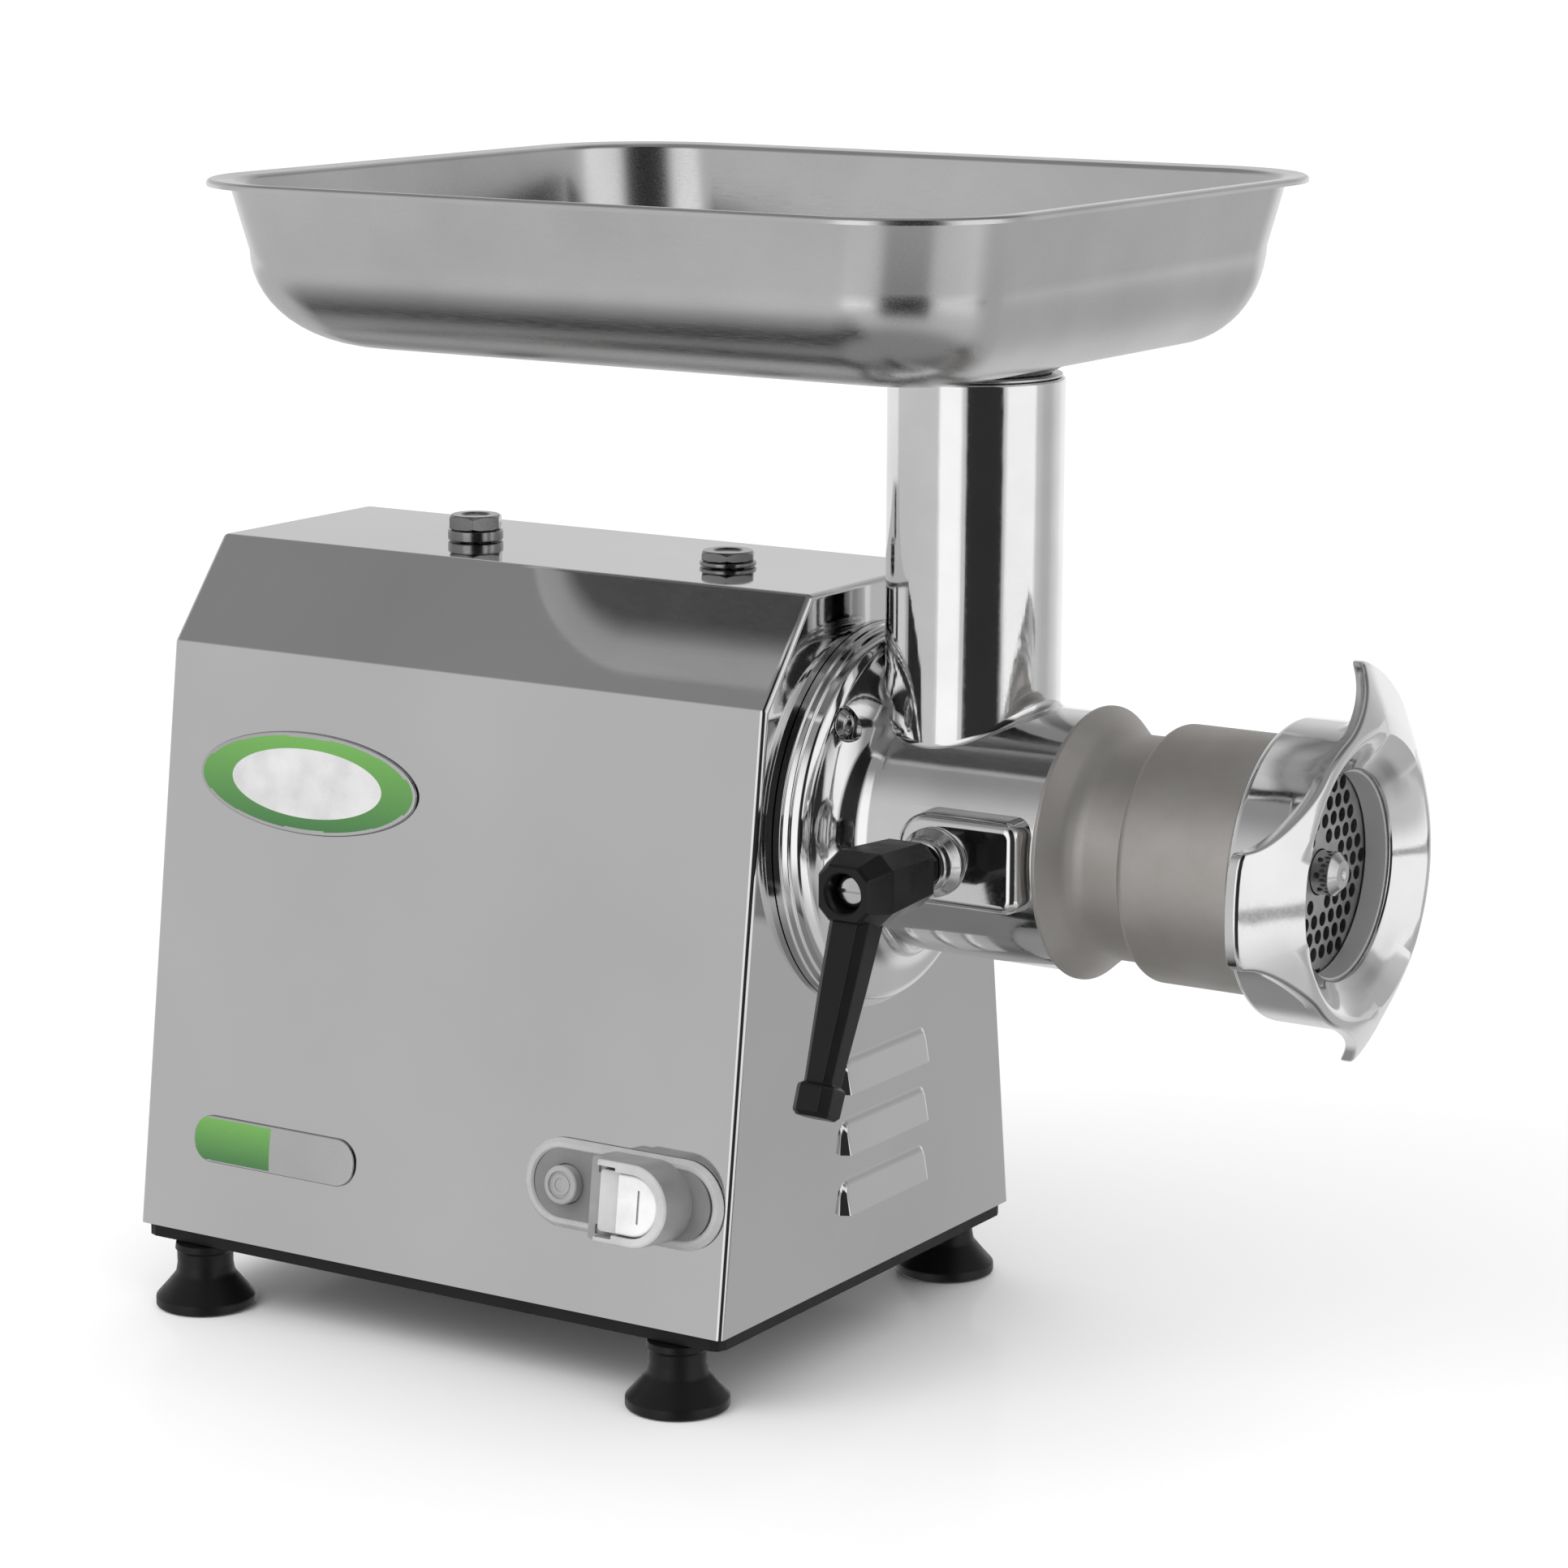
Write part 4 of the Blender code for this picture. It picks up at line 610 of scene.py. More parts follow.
MIRROR = mirror_stainless()
POLISHED = polished_aluminium()
SATIN = satin_aluminium()
SHEET_METAL = satin_stainless(value=0.65, low=0.19, high=0.28)
STEEL = steel()
BRIGHT_STEEL = steel("bright_steel", 0.66, 0.10, 0.20)
PLATE_STEEL = steel("plate_steel", 0.56, 0.32, 0.46)
RING_STEEL = satin_stainless("ring_stainless", 0.60, 0.42, 0.55, 0.55)
BOLT_STEEL = steel("bolt_steel", 0.30, 0.14, 0.24)
BLACK_PAINT = moulded("black_paint", grey(0.008), 0.36, 0.50, 500.0, 0.20, specular_ior_level=0.25)
RUBBER = moulded("rubber", grey(0.006), 0.34, 0.50, 2200.0, 0.25, specular_ior_level=0.30)
LEVER_PLASTIC = moulded("lever_plastic", grey(0.006), 0.24, 0.34, 1800.0, 0.12, specular_ior_level=0.28)
BLACK_PLASTIC = moulded("black_plastic", grey(0.016), 0.32, 0.46)
SMOKE = moulded("smoke_plastic", grey(0.27), 0.26, 0.36, coat_weight=0.3, coat_roughness=0.15)
WELL_GREY = moulded("well_plastic", grey(0.19), 0.34, 0.46)
PALE = moulded("pale_plastic", grey(0.50), 0.24, 0.34, coat_weight=0.3, coat_roughness=0.12)
STOP_GREY = moulded("stop_plastic", grey(0.36), 0.26, 0.36)
WHITE = moulded("white_plastic", grey(0.78), 0.26, 0.36, 900.0, 0.05)
FLAP = moulded("flap_plastic", grey(0.52), 0.28, 0.38, 900.0, 0.05)
LIP = moulded("lip_plastic", grey(0.42), 0.20, 0.32, coat_weight=0.5, coat_roughness=0.10)
INK = moulded("grey_mark", grey(0.36), 0.35, 0.45)
CREAM = moulded("capacitor_plastic", (0.62, 0.60, 0.54), 0.32, 0.45)
OVAL_GREEN = green_enamel("oval_green", "oval_badge")
PILL_GREEN = green_enamel("pill_green", "pill_badge")
LABEL_WHITE = moulded("label_white", grey(0.60), 0.24, 0.32, 900.0, 0.03, coat_weight=0.6,
                      coat_roughness=0.05)
SILVER = satin_stainless("silver_print", 0.62, 0.26, 0.34)
IRON = cast_iron()
COPPER = copper_winding()
CORE = lamination()


# ---- housing, feet and roof bolts ----------------------------------------------------------
def housing_section(inset, bottom, radius):
    """Cross-section of the housing moved inwards by the inset, its folds rounded."""
    slope = (BOTTOM_HALF - KNEE_HALF) / (KNEE_Z - BOTTOM_Z)
    low_half = BOTTOM_HALF - inset + slope * (BOTTOM_Z - bottom)
    right = [(low_half, bottom), (KNEE_HALF - inset * 1.01, KNEE_Z - inset * 0.45),
             (TOP_HALF - inset * 0.45, TOP_Z - inset)]
    corners = right + [(-y, z) for y, z in reversed(right)]
    return rounded(corners, (0, radius, radius, radius, radius, 0), 6)


def hood_depth(y, down):
    """How far a hood stands out at a place, from how far inside its rounded outline that lies."""
    half = (LOUVRE_Y[1] - LOUVRE_Y[0]) / 2
    across = abs(y - sum(LOUVRE_Y) / 2) - (half - LOUVRE_CORNER)
    under = down - LOUVRE_CORNER
    if across > 0 and under < 0:
        inside = LOUVRE_CORNER - math.hypot(across, under)
    else:
        inside = min(LOUVRE_CORNER - across, down if under < 0 else LOUVRE_HEIGHT)
    share = max(0.0, min(1.0, inside / LOUVRE_RAMP))
    ramp = share * share * (3 - 2 * share)
    return LOUVRE_DEPTH * ramp * (0.30 + 0.70 * down / LOUVRE_HEIGHT)


def louvre(z):
    """Pressed hood: it rises from a rounded outline and is furthest out at its open lower edge."""
    columns, rows = 110, 22
    top = z + LOUVRE_HEIGHT / 2
    rings = []
    for row in range(rows + 1):
        down = LOUVRE_HEIGHT * row / rows
        line = []
        for column in range(columns + 1):
            y = LOUVRE_Y[0] + (LOUVRE_Y[1] - LOUVRE_Y[0]) * column / columns
            line.append((FRONT_X - 0.00005 + hood_depth(y, down), y, top - down))
        rings.append(line)
    rings += [[(FRONT_X - 0.0009, y, z) for _, y, z in line] for line in (rings[-1], rings[0])]
    bm = bmesh.new()
    rows = [[bm.verts.new(point) for point in line] for line in rings]
    for first, second in zip(rows, rows[1:] + rows[:1]):
        for i in range(columns):
            bm.faces.new((first[i], first[i + 1], second[i + 1], second[i]))
    for end in (0, columns):
        bm.faces.new([row[end] for row in rows])
    return keep("louvre", bm)


def louvre_slot(z):
    """Room behind a hood, open downwards."""
    low_y, high_y = LOUVRE_Y[0] + 0.0030, LOUVRE_Y[1] - 0.0030
    edge = z - LOUVRE_HEIGHT / 2
    outline = [(FRONT_X - 0.0030, z + 0.0010), (FRONT_X - 0.0030, edge - 0.0001),
               (FRONT_X + 0.0022, edge - 0.0001), (FRONT_X + 0.0022, edge + 0.0020)]
    place = frame_at((0, (low_y + high_y) / 2, 0), (1, 0, 0), (0, 0, 1))
    half = (high_y - low_y) / 2
    return prism("louvre_slot", outline, -half, half, place)


def screw_place(index):
    angle = math.radians(45 + 90 * index)
    return AXIS + Vector((0, SCREW_CIRCLE * math.cos(angle), SCREW_CIRCLE * math.sin(angle)))


def housing():
    """Folded shell: every fold and both end rims are rounded, and the underside is open."""
    rings = []
    for end, side in ((REAR_X, 1), (FRONT_X, -1)):
        turns = range(7) if side == 1 else range(6, -1, -1)
        for step in turns:
            angle = math.pi / 2 * step / 6
            inset = (FOLD - 0.0002) * (1 - math.sin(angle))
            x = end + side * FOLD * (1 - math.cos(angle))
            rings.append([(x, y, z) for y, z in housing_section(inset, BOTTOM_Z, FOLD - inset)])
    shell = skin("housing", rings, caps=True)
    inner = [[(x, y, z) for y, z in housing_section(SHEET, BOTTOM_Z - 0.01, 0.0)]
             for x in (REAR_X + SHEET, FRONT_X - SHEET)]
    combine(shell, skin("inside", inner, caps=True))
    combine(shell, rod("drive_hole", -0.005, 0.005, 0.030, AXIS))
    for index in range(4):
        combine(shell, rod("screw_hole", -0.004, 0.004, 0.0028, screw_place(index), segments=16))
    gland = middle("cable_gland")
    combine(shell, rod("gland_hole", -0.005, 0.005, 0.0078, (REAR_X, gland.y, gland.z)))
    combine(shell, prism("switch_hole", stadium(SWITCH_HALF[0] - 0.0036, SWITCH_HALF[1] - 0.0023),
                         -0.006, 0.006, on_panel(SWITCH_X, SWITCH_UP)))
    for name in ("roof_bolt_rear", "roof_bolt_front"):
        bolt = middle(name)
        combine(shell, rod("bolt_hole", -0.004, 0.004, 0.0054, (bolt.x, bolt.y, TOP_Z), "Z"))
    for z in LOUVRE_Z:
        combine(shell, louvre(z), "UNION")
        combine(shell, louvre_slot(z))
    show(shell, "machine", "stainless", MIRROR, "housing_shell", angle=24)


def feet():
    """Bell-shaped rubber feet with a moulded step under the base plate."""
    rim, neck = 0.0172, 0.0096
    top = BOTTOM_Z - 2 * GAP - 0.0042
    radii = (0, .0006, .0006, .0012, .004, .004, .002, .0004, .0004, .0003, 0, 0, 0)
    for end in ("rear", "front"):
        for side in ("near", "far"):
            node = "foot_%s_%s" % (end, side)
            stud_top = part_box(node)[1].z
            centre = middle(node)
            outline = [(0.0, 0.0), (0.0, rim - 0.0010), (0.0008, rim), (0.0036, rim), (0.0075, rim * 0.80),
                       (0.0118, neck * 1.06), (0.0152, neck), (top - 0.0030, neck * 1.01),
                       (top - 0.0022, neck * 1.07), (top, neck * 1.04), (top, 0.0040), (stud_top, 0.0040),
                       (stud_top, 0.0)]
            outline = rounded(outline, radii, 4, closed=False)
            piece = revolve("rubber_foot_%s_%s" % (end, side), outline, (centre.x, centre.y, 0), "Z", 96)
            show(piece, "machine", "rubber", RUBBER, node)


def hexagon(across_flats, turn=0.0):
    return circle(across_flats / math.sqrt(3), 6, phase=turn)


def roof_bolts():
    """Hexagon heads with turned corners and dished tops, on plain washers."""
    flats = 0.017
    tip = flats / math.sqrt(3)
    for end in ("rear", "front"):
        low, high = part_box("roof_bolt_" + end)
        washer_low, washer_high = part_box("roof_washer_" + end)
        seat = washer_high.z + GAP
        top = high.z - 0.0014
        at = Vector(((low.x + high.x) / 2, (low.y + high.y) / 2, 0))
        head = prism("bolt_" + end, hexagon(flats), seat, top, Matrix.Translation(at))
        limit = [(seat - 0.001, 0.0), (seat - 0.001, flats / 2 + 0.0003), (seat, flats / 2 + 0.0003),
                 (seat + 0.0008, tip + 0.0003), (top - 0.0012, tip + 0.0003), (top, flats / 2 - 0.0004),
                 (top + 0.001, flats / 2 - 0.0004), (top + 0.001, 0.0)]
        combine(head, revolve("limit", limit, at, "Z", 72), "INTERSECT")
        dish = [(top - 0.0006, 0.0), (top - 0.0006, 0.0046), (top + 0.001, 0.0060), (top + 0.001, 0.0)]
        combine(head, revolve("dish", dish, at, "Z", 48))
        combine(head, rod("shank", low.z, seat + 0.0005, 0.0050, at, "Z"), "UNION")
        soften(head, 0.00015, 2, 25)
        show(head, "machine", "steel", BOLT_STEEL, "roof_bolt_" + end)
        outline = rounded([(washer_low.z, 0.0053), (washer_low.z, 0.0095), (washer_high.z, 0.0095),
                           (washer_high.z, 0.0053)], 0.0006, 3)
        washer = revolve("bolt_washer_" + end, outline, at, "Z", 72)
        show(washer, "machine", "steel", BOLT_STEEL, "roof_washer_" + end)


def gland():
    """Bushing of the mains lead, with two grip rings."""
    low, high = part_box("cable_gland")
    centre = middle("cable_gland")
    outer = low.x
    outline = [(outer, 0.0045), (outer, 0.0092), (outer + 0.0012, 0.0105), (outer + 0.0022, 0.0105),
               (outer + 0.0026, 0.0100), (outer + 0.0032, 0.0100), (outer + 0.0036, 0.0105),
               (REAR_X - GAP, 0.0105), (REAR_X - GAP, 0.0074), (high.x, 0.0074), (high.x, 0.0045)]
    piece = revolve("cable_bushing", rounded(outline, 0.0003, 3), (0, centre.y, centre.z), segments=72)
    show(piece, "machine", "black_plastic", BLACK_PLASTIC, "cable_gland")


# ---- badges and switch ---------------------------------------------------------------------
def domed(name, outline, scale_rings, thick, edge, rise, place):
    """A plate with a rounded edge whose top swells towards its middle."""
    rings = [[(x, y, 0.0) for x, y in outline]]
    for step in range(5):
        angle = math.pi / 2 * step / 4
        shape = shrunk(outline, edge * (1 - math.cos(angle)))
        rings.append([(x, y, thick - rise - edge * (1 - math.sin(angle))) for x, y in shape])
    rim = rings[-1]
    for share in scale_rings:
        lift = rise * math.sin((1 - share) * math.pi / 2)
        rings.append([(x * share, y * share, z + lift) for x, y, z in rim])
    return skin(name, rings, caps=True, place=place)


def oval_badge():
    """Domed oval: a thin pale rim, a green band and a plain white field."""
    half_x, half_y, thick = 0.0456, 0.0172, 0.0016
    rim = 0.0016
    centre = middle("oval_badge")
    place = on_panel(centre.x, 0.1597, GAP)
    outline = [(half_x * x, half_y * y) for x, y in circle(1.0, 96)]
    shares = (0.985, 0.965, 0.955, 0.93, 0.88, 0.80, 0.70, 0.58, 0.44, 0.28, 0.12)
    piece = domed("oval_label", outline, shares, thick, 0.0006, 0.0006, place)

    def pick(x, y, z):
        inside = math.hypot(x / (half_x - rim), y / (half_y - rim)) < 1
        field = math.hypot(x / half_x, y / half_y) < 0.69
        return 0 if z < thick / 2 or not inside else 2 if field else 1

    paint(piece, (SILVER, OVAL_GREEN, LABEL_WHITE), place, pick)
    show(piece, "machine", "green_enamel", OVAL_GREEN, "oval_badge")


def pill_badge():
    """Oblong label in two plain halves, green and pale."""
    half_x, half_y, thick = 0.0342, 0.0081, 0.0012
    rim = 0.0009
    split = -0.0012               # where the green half ends
    centre = middle("pill_badge")
    place = on_panel(centre.x, 0.0338, GAP)
    corners = [(half_x, -half_y), (half_x, half_y), (-half_x, half_y), (-half_x, -half_y)]
    outline = rounded(corners, 0.0076, 12)
    shares = [1 - 0.05 * step for step in range(1, 20)]
    piece = domed("pill_label", outline, shares, thick, 0.0004, 0.0004, place)
    bm = bmesh.new()
    bm.from_mesh(piece.data)
    along = Vector((1, 0, 0))
    for x in (split, 0.0):
        everything = bm.verts[:] + bm.edges[:] + bm.faces[:]
        bmesh.ops.bisect_plane(bm, geom=everything, plane_co=place @ Vector((x, 0, 0)), plane_no=along)
    bm.to_mesh(piece.data)
    bm.free()

    def pick(x, y, z):
        return 1 if abs(y) < half_y - rim and -half_x + rim < x < split and z > thick / 2 else 0

    paint(piece, (SILVER, PILL_GREEN), place, pick)
    show(piece, "machine", "satin_stainless", SILVER, "pill_badge")


def switch_lip(place):
    thick = 0.0025
    lip = rounded([(0.0038, GAP), (0.0, GAP), (0.0, thick * 0.4), (0.0016, thick), (0.0030, thick),
                   (0.0038, thick * 0.7)], 0.0006, 4)
    rings = [[(x, y, z) for x, y in stadium(SWITCH_HALF[0] - inset, SWITCH_HALF[1] - inset)]
             for inset, z in lip]
    show(skin("switch_lip", rings, along=True, place=place), "machine", "clear_plastic", LIP, "switch_bezel")


def switch_insert(place):
    """Smoky body: a stop well, and a raised collar round the start key that is cut down on its left."""
    left, right, half = START
    oblong = stadium(SWITCH_HALF[0] - 0.0043, SWITCH_HALF[1] - 0.0030)
    body = prism("switch_insert", oblong, INSERT_FACE - 0.020, INSERT_FACE, place, 0.0004, 2)
    combine(body, prism("collar", d_shape(*COLLAR), INSERT_FACE - 0.006, COLLAR_TOP, place, 0.0012), "UNION")
    well = d_shape(left - GAP, right + GAP, half + GAP, 0.0012 + GAP)
    combine(body, prism("start_well", well, COLLAR_TOP - 0.0145, COLLAR_TOP + 0.005, place))
    open_side = [(COLLAR[0] - 0.001, -0.02), (left - GAP + 0.0004, -0.02), (left - GAP + 0.0004, 0.02),
                 (COLLAR[0] - 0.001, 0.02)]
    combine(body, prism("open_side", open_side, COLLAR_TOP - 0.0042, COLLAR_TOP + 0.005, place))
    for side in (-1, 1):
        low, high = side * half - 0.0016, side * half + 0.0016
        notch = [(left - 0.0020, low), (left + 0.0070, low), (left + 0.0070, high), (left - 0.0020, high)]
        notch = rounded(notch, 0.0004, 2)
        combine(body, prism("notch", notch, COLLAR_TOP - 0.0050, COLLAR_TOP + 0.005, place))
    combine(body, prism("stop_well", circle(STOP_RADIUS + GAP, 64, (STOP_X, 0)), -0.0070, 0.01, place))

    def pick(x, y, z):
        return 0 if z < INSERT_FACE + 0.0002 else 2 if z > COLLAR_TOP - 0.0007 else 1

    paint(body, (WELL_GREY, SMOKE, PALE), place, pick)
    show(body, "machine", "grey_plastic", SMOKE, "switch_body")


def start_key(place):
    """White half-round key with a lower flap and an engraved bar."""
    left, _, half = START
    crown = COLLAR_TOP - 0.0010
    key = prism("start_key", d_shape(*START), crown - 0.0100, crown, place, 0.0010)
    flap = [(left - 0.001, -half - 0.001), (START_FLAP, -half - 0.001), (START_FLAP, half + 0.001),
            (left - 0.001, half + 0.001)]
    combine(key, prism("flap", flap, crown - 0.0016, crown + 0.002, place))
    mark = rounded([(0.0160, -0.0055), (0.0168, -0.0055), (0.0168, 0.0055), (0.0160, 0.0055)], 0.0003, 2)
    combine(key, prism("mark", mark, crown - 0.0004, crown + 0.002, place))

    def pick(x, y, z):
        marked = 0.0158 < x < 0.0170 and abs(y) < 0.0060 and crown - 0.0006 < z < crown - 0.0001
        return 2 if marked else 1 if x < START_FLAP - 0.0001 else 0

    paint(key, (WHITE, FLAP, INK), place, pick)
    show(key, "start", "white_plastic", WHITE, "start_button")


def stop_key(place):
    """Round key with a dished top and a ring mark."""
    crown = 0.0060
    centre = (STOP_X, 0)
    inner, outer = 0.0023, 0.0034
    key = prism("stop_key", circle(STOP_RADIUS, 64, centre), crown - 0.0100, crown, place, 0.0008)
    combine(key, prism("dip", circle(STOP_RADIUS - 0.0018, 64, centre), crown - 0.0007, crown + 0.002, place))
    loops = [circle(outer, 48, centre), circle(inner, 48, centre)]
    combine(key, pierced("mark_ring", loops, crown - 0.0015, crown - 0.00045, place), "UNION")

    def pick(x, y, z):
        on_ring = inner <= math.hypot(x - STOP_X, y) <= outer
        return 1 if on_ring and crown - 0.00055 < z < crown - 0.0002 else 0

    paint(key, (STOP_GREY, INK), place, pick)
    show(key, "stop", "grey_plastic", STOP_GREY, "stop_button")


def switch():
    """Oblong switch on the sloping panel: lip, body with its collar, start key and stop key."""
    place = on_panel(SWITCH_X, SWITCH_UP)
    switch_lip(place)
    switch_insert(place)
    start_key(place)
    stop_key(place)


# ---- head casting ----------------------------------------------------------------------------
def bell_outline():
    """Ringed flange, hollow bell and barrel, from the flange's back to the open end."""
    points = [(-0.0070, 0.0), (-0.0070, 0.0294), (0.0003, 0.0294)]
    rim = [(0.0003, FLANGE_RADIUS), (0.0030, FLANGE_RADIUS), (0.0030, FLANGE_RADIUS - 0.0010),
           (0.0052, FLANGE_RADIUS - 0.0014), (0.0052, FLANGE_RADIUS - 0.0026),
           (0.0080, FLANGE_RADIUS - 0.0032), (0.0092, HUB_RADIUS + 0.0030)]
    points += rounded(rim, (.0006, .0012, .0003, .0010, .0003, .0022, 0), 6, closed=False)
    rise = HUB_RADIUS + 0.0018 - BARREL_RADIUS
    for step in range(25):
        angle = math.pi / 2 * step / 24
        points.append((0.0096 + 0.0135 * (1 - math.cos(angle)), BARREL_RADIUS + rise * (1 - math.sin(angle))))
    end = [(BARREL_END - 0.02, BARREL_RADIUS), (BARREL_END, BARREL_RADIUS), (BARREL_END, 0.0)]
    return points + rounded(end, 0.0010, 4, closed=False)


def saddle(radius):
    """Fillet where the upright tube meets the barrel: the path of a ball that touches both."""
    sink = 0.00004
    rings = []
    for i in range(TURN):
        angle = math.tau * i / TURN
        x = TUBE_X + (TUBE_RADIUS + radius) * math.cos(angle)
        y = (TUBE_RADIUS + radius) * math.sin(angle)
        z = AXIS_Z + math.sqrt((BARREL_RADIUS + radius) ** 2 - y ** 2)
        ball = Vector((x, y, z))
        on_tube = Vector((TUBE_X + (TUBE_RADIUS - sink) * math.cos(angle),
                          (TUBE_RADIUS - sink) * math.sin(angle), z)) - ball
        share = (BARREL_RADIUS - sink) / (BARREL_RADIUS + radius)
        on_barrel = Vector((x, y * share, AXIS_Z + (z - AXIS_Z) * share)) - ball
        ring = [ball + on_tube.slerp(on_barrel, step / 8).normalized() * (radius + sink) for step in range(9)]
        ring.append(Vector((TUBE_X + (TUBE_RADIUS - 0.004) * math.cos(angle),
                            (TUBE_RADIUS - 0.004) * math.sin(angle), ring[-1].z - 0.004)))
        rings.append(ring)
    return skin("saddle", rings, along=True)


def boss():
    """Flat pad for the clamping stud, with drafted walls that run into the barrel."""
    x0, x1 = STUD_X - 0.0150, FRONT_X + BARREL_END - 0.0008
    z0, z1 = AXIS_Z - 0.0165, AXIS_Z + 0.0150
    outline = rounded([(x1, z0), (x1, z1), (x0, z1), (x0, z0)], (0.0062, 0.0062, 0.0120, 0.0120), 12)
    edge, draft = 0.0034, 0.0010
    rings = [[(x, -0.0300, z) for x, z in outline]]
    for step in range(11):
        angle = math.pi / 2 * step / 10
        inset = draft + edge * (1 - math.cos(angle))
        y = BOSS_FACE - edge * (1 - math.sin(angle))
        rings.append([(x, -y, z) for x, z in shrunk(outline, inset)])
    return skin("boss", rings, caps=True)


def head():
    """Polished casting: flange, bell, barrel, feed tube and stud boss."""
    casting = revolve("head", bell_outline(), AXIS)
    tube = [(AXIS_Z + 0.003, 0.0), (AXIS_Z + 0.003, TUBE_RADIUS), (TUBE_TOP_Z, TUBE_RADIUS),
            (TUBE_TOP_Z, 0.0)]
    tube = rounded(tube, (0, 0, 0.0009, 0), 4, closed=False)
    combine(casting, revolve("tube", tube, (TUBE_X, 0, 0), "Z"), "UNION")
    combine(casting, saddle(0.0034), "UNION")
    combine(casting, boss(), "UNION")
    bore = [(-0.0200, 0.0), (-0.0200, 0.0182), (0.0085, 0.0182), (0.0085, BARREL_BORE), (0.1, BARREL_BORE),
            (0.1, 0.0)]
    combine(casting, revolve("bore", bore, AXIS, segments=96))
    tube_bore = [(AXIS_Z + 0.005, 0.0), (AXIS_Z + 0.005, TUBE_BORE), (TUBE_TOP_Z - 0.0006, TUBE_BORE),
                 (TUBE_TOP_Z + 0.0006, TUBE_BORE + 0.0012), (0.35, TUBE_BORE + 0.0012), (0.35, 0.0)]
    combine(casting, revolve("tube_bore", tube_bore, (TUBE_X, 0, 0), "Z", 96))
    combine(casting, rod("stud_hole", 0.02, 0.08, 0.0053, (STUD_X, 0, STUD_Z), "Y"))
    for index in range(4):
        combine(casting, rod("screw_well", 0.0085, 0.03, 0.0058, screw_place(index)))
        combine(casting, rod("screw_hole", -0.02, 0.02, 0.0028, screw_place(index), segments=24))
    show(casting, "machine", "polished_aluminium", POLISHED, "head_casting", angle=26)


def flange_screws():
    """Button-head screws with a hexagon socket."""
    for index in range(4):
        node = "flange_screw_%d" % (index + 1)
        outline = [(-0.0150, 0.0), (-0.0150, 0.0025), (0.0088, 0.0025), (0.0088, 0.0050), (0.0098, 0.0050),
                   (0.0118, 0.0030), (0.0118, 0.0)]
        outline = rounded(outline, (0, 0, 0, .0002, .0009, .0008, 0), 5, closed=False)
        screw = revolve("button_screw_%d" % (index + 1), outline, screw_place(index), segments=48)
        socket = Matrix.Translation(screw_place(index)) @ frame_at((0, 0, 0), (0, 1, 0), (0, 0, 1))
        combine(screw, prism("socket", hexagon(0.0032), 0.0098, 0.02, socket))
        show(screw, "machine", "steel", BRIGHT_STEEL, node)


# ---- clamping lever ----------------------------------------------------------------------------
def clamp_stud():
    """Bright screw with a round collar in two steps."""
    base = BOSS_FACE + GAP
    inner = MOUTH_SLEEVE + 0.0008
    end = LEVER_FACE - 0.0130
    outline = [(inner, 0.0), (inner, 0.0040), (inner + 0.0012, 0.0050), (base, 0.0050), (base, 0.0112),
               (base + 0.0012, 0.0112), (base + 0.0040, 0.0090), (base + 0.0075, 0.0088),
               (base + 0.0078, 0.0050), (end, 0.0050), (end, 0.0)]
    radii = (0, 0.0003, 0.0003, 0, 0.0004, 0.0014, 0.0016, 0.0022, 0, 0.0002, 0)
    stud = revolve("stud_screw", rounded(outline, radii, 5, closed=False), STUD, "Y", 96)
    show(stud, "lever", "steel", BRIGHT_STEEL, "clamp_stud")


def chamfered(half_x, half_y, chamfer, radius):
    """An octagon: a rectangle with cut corners, each edge slightly rounded."""
    a, b, c = half_x, half_y, chamfer
    right = [(a, c - b), (a, b - c), (a - c, b)]
    left = [(c - a, b), (-a, b - c), (-a, c - b)]
    return rounded(right + left + [(c - a, -b), (a - c, -b)], radius, 3)


def stacked(name, stations, place):
    """Join octagons given as (distance, half x, half y, chamfer, edge radius)."""
    rings = [[(x, y, along) for x, y in chamfered(*sizes)] for along, *sizes in stations]
    return skin(name, rings, caps=True, place=place)


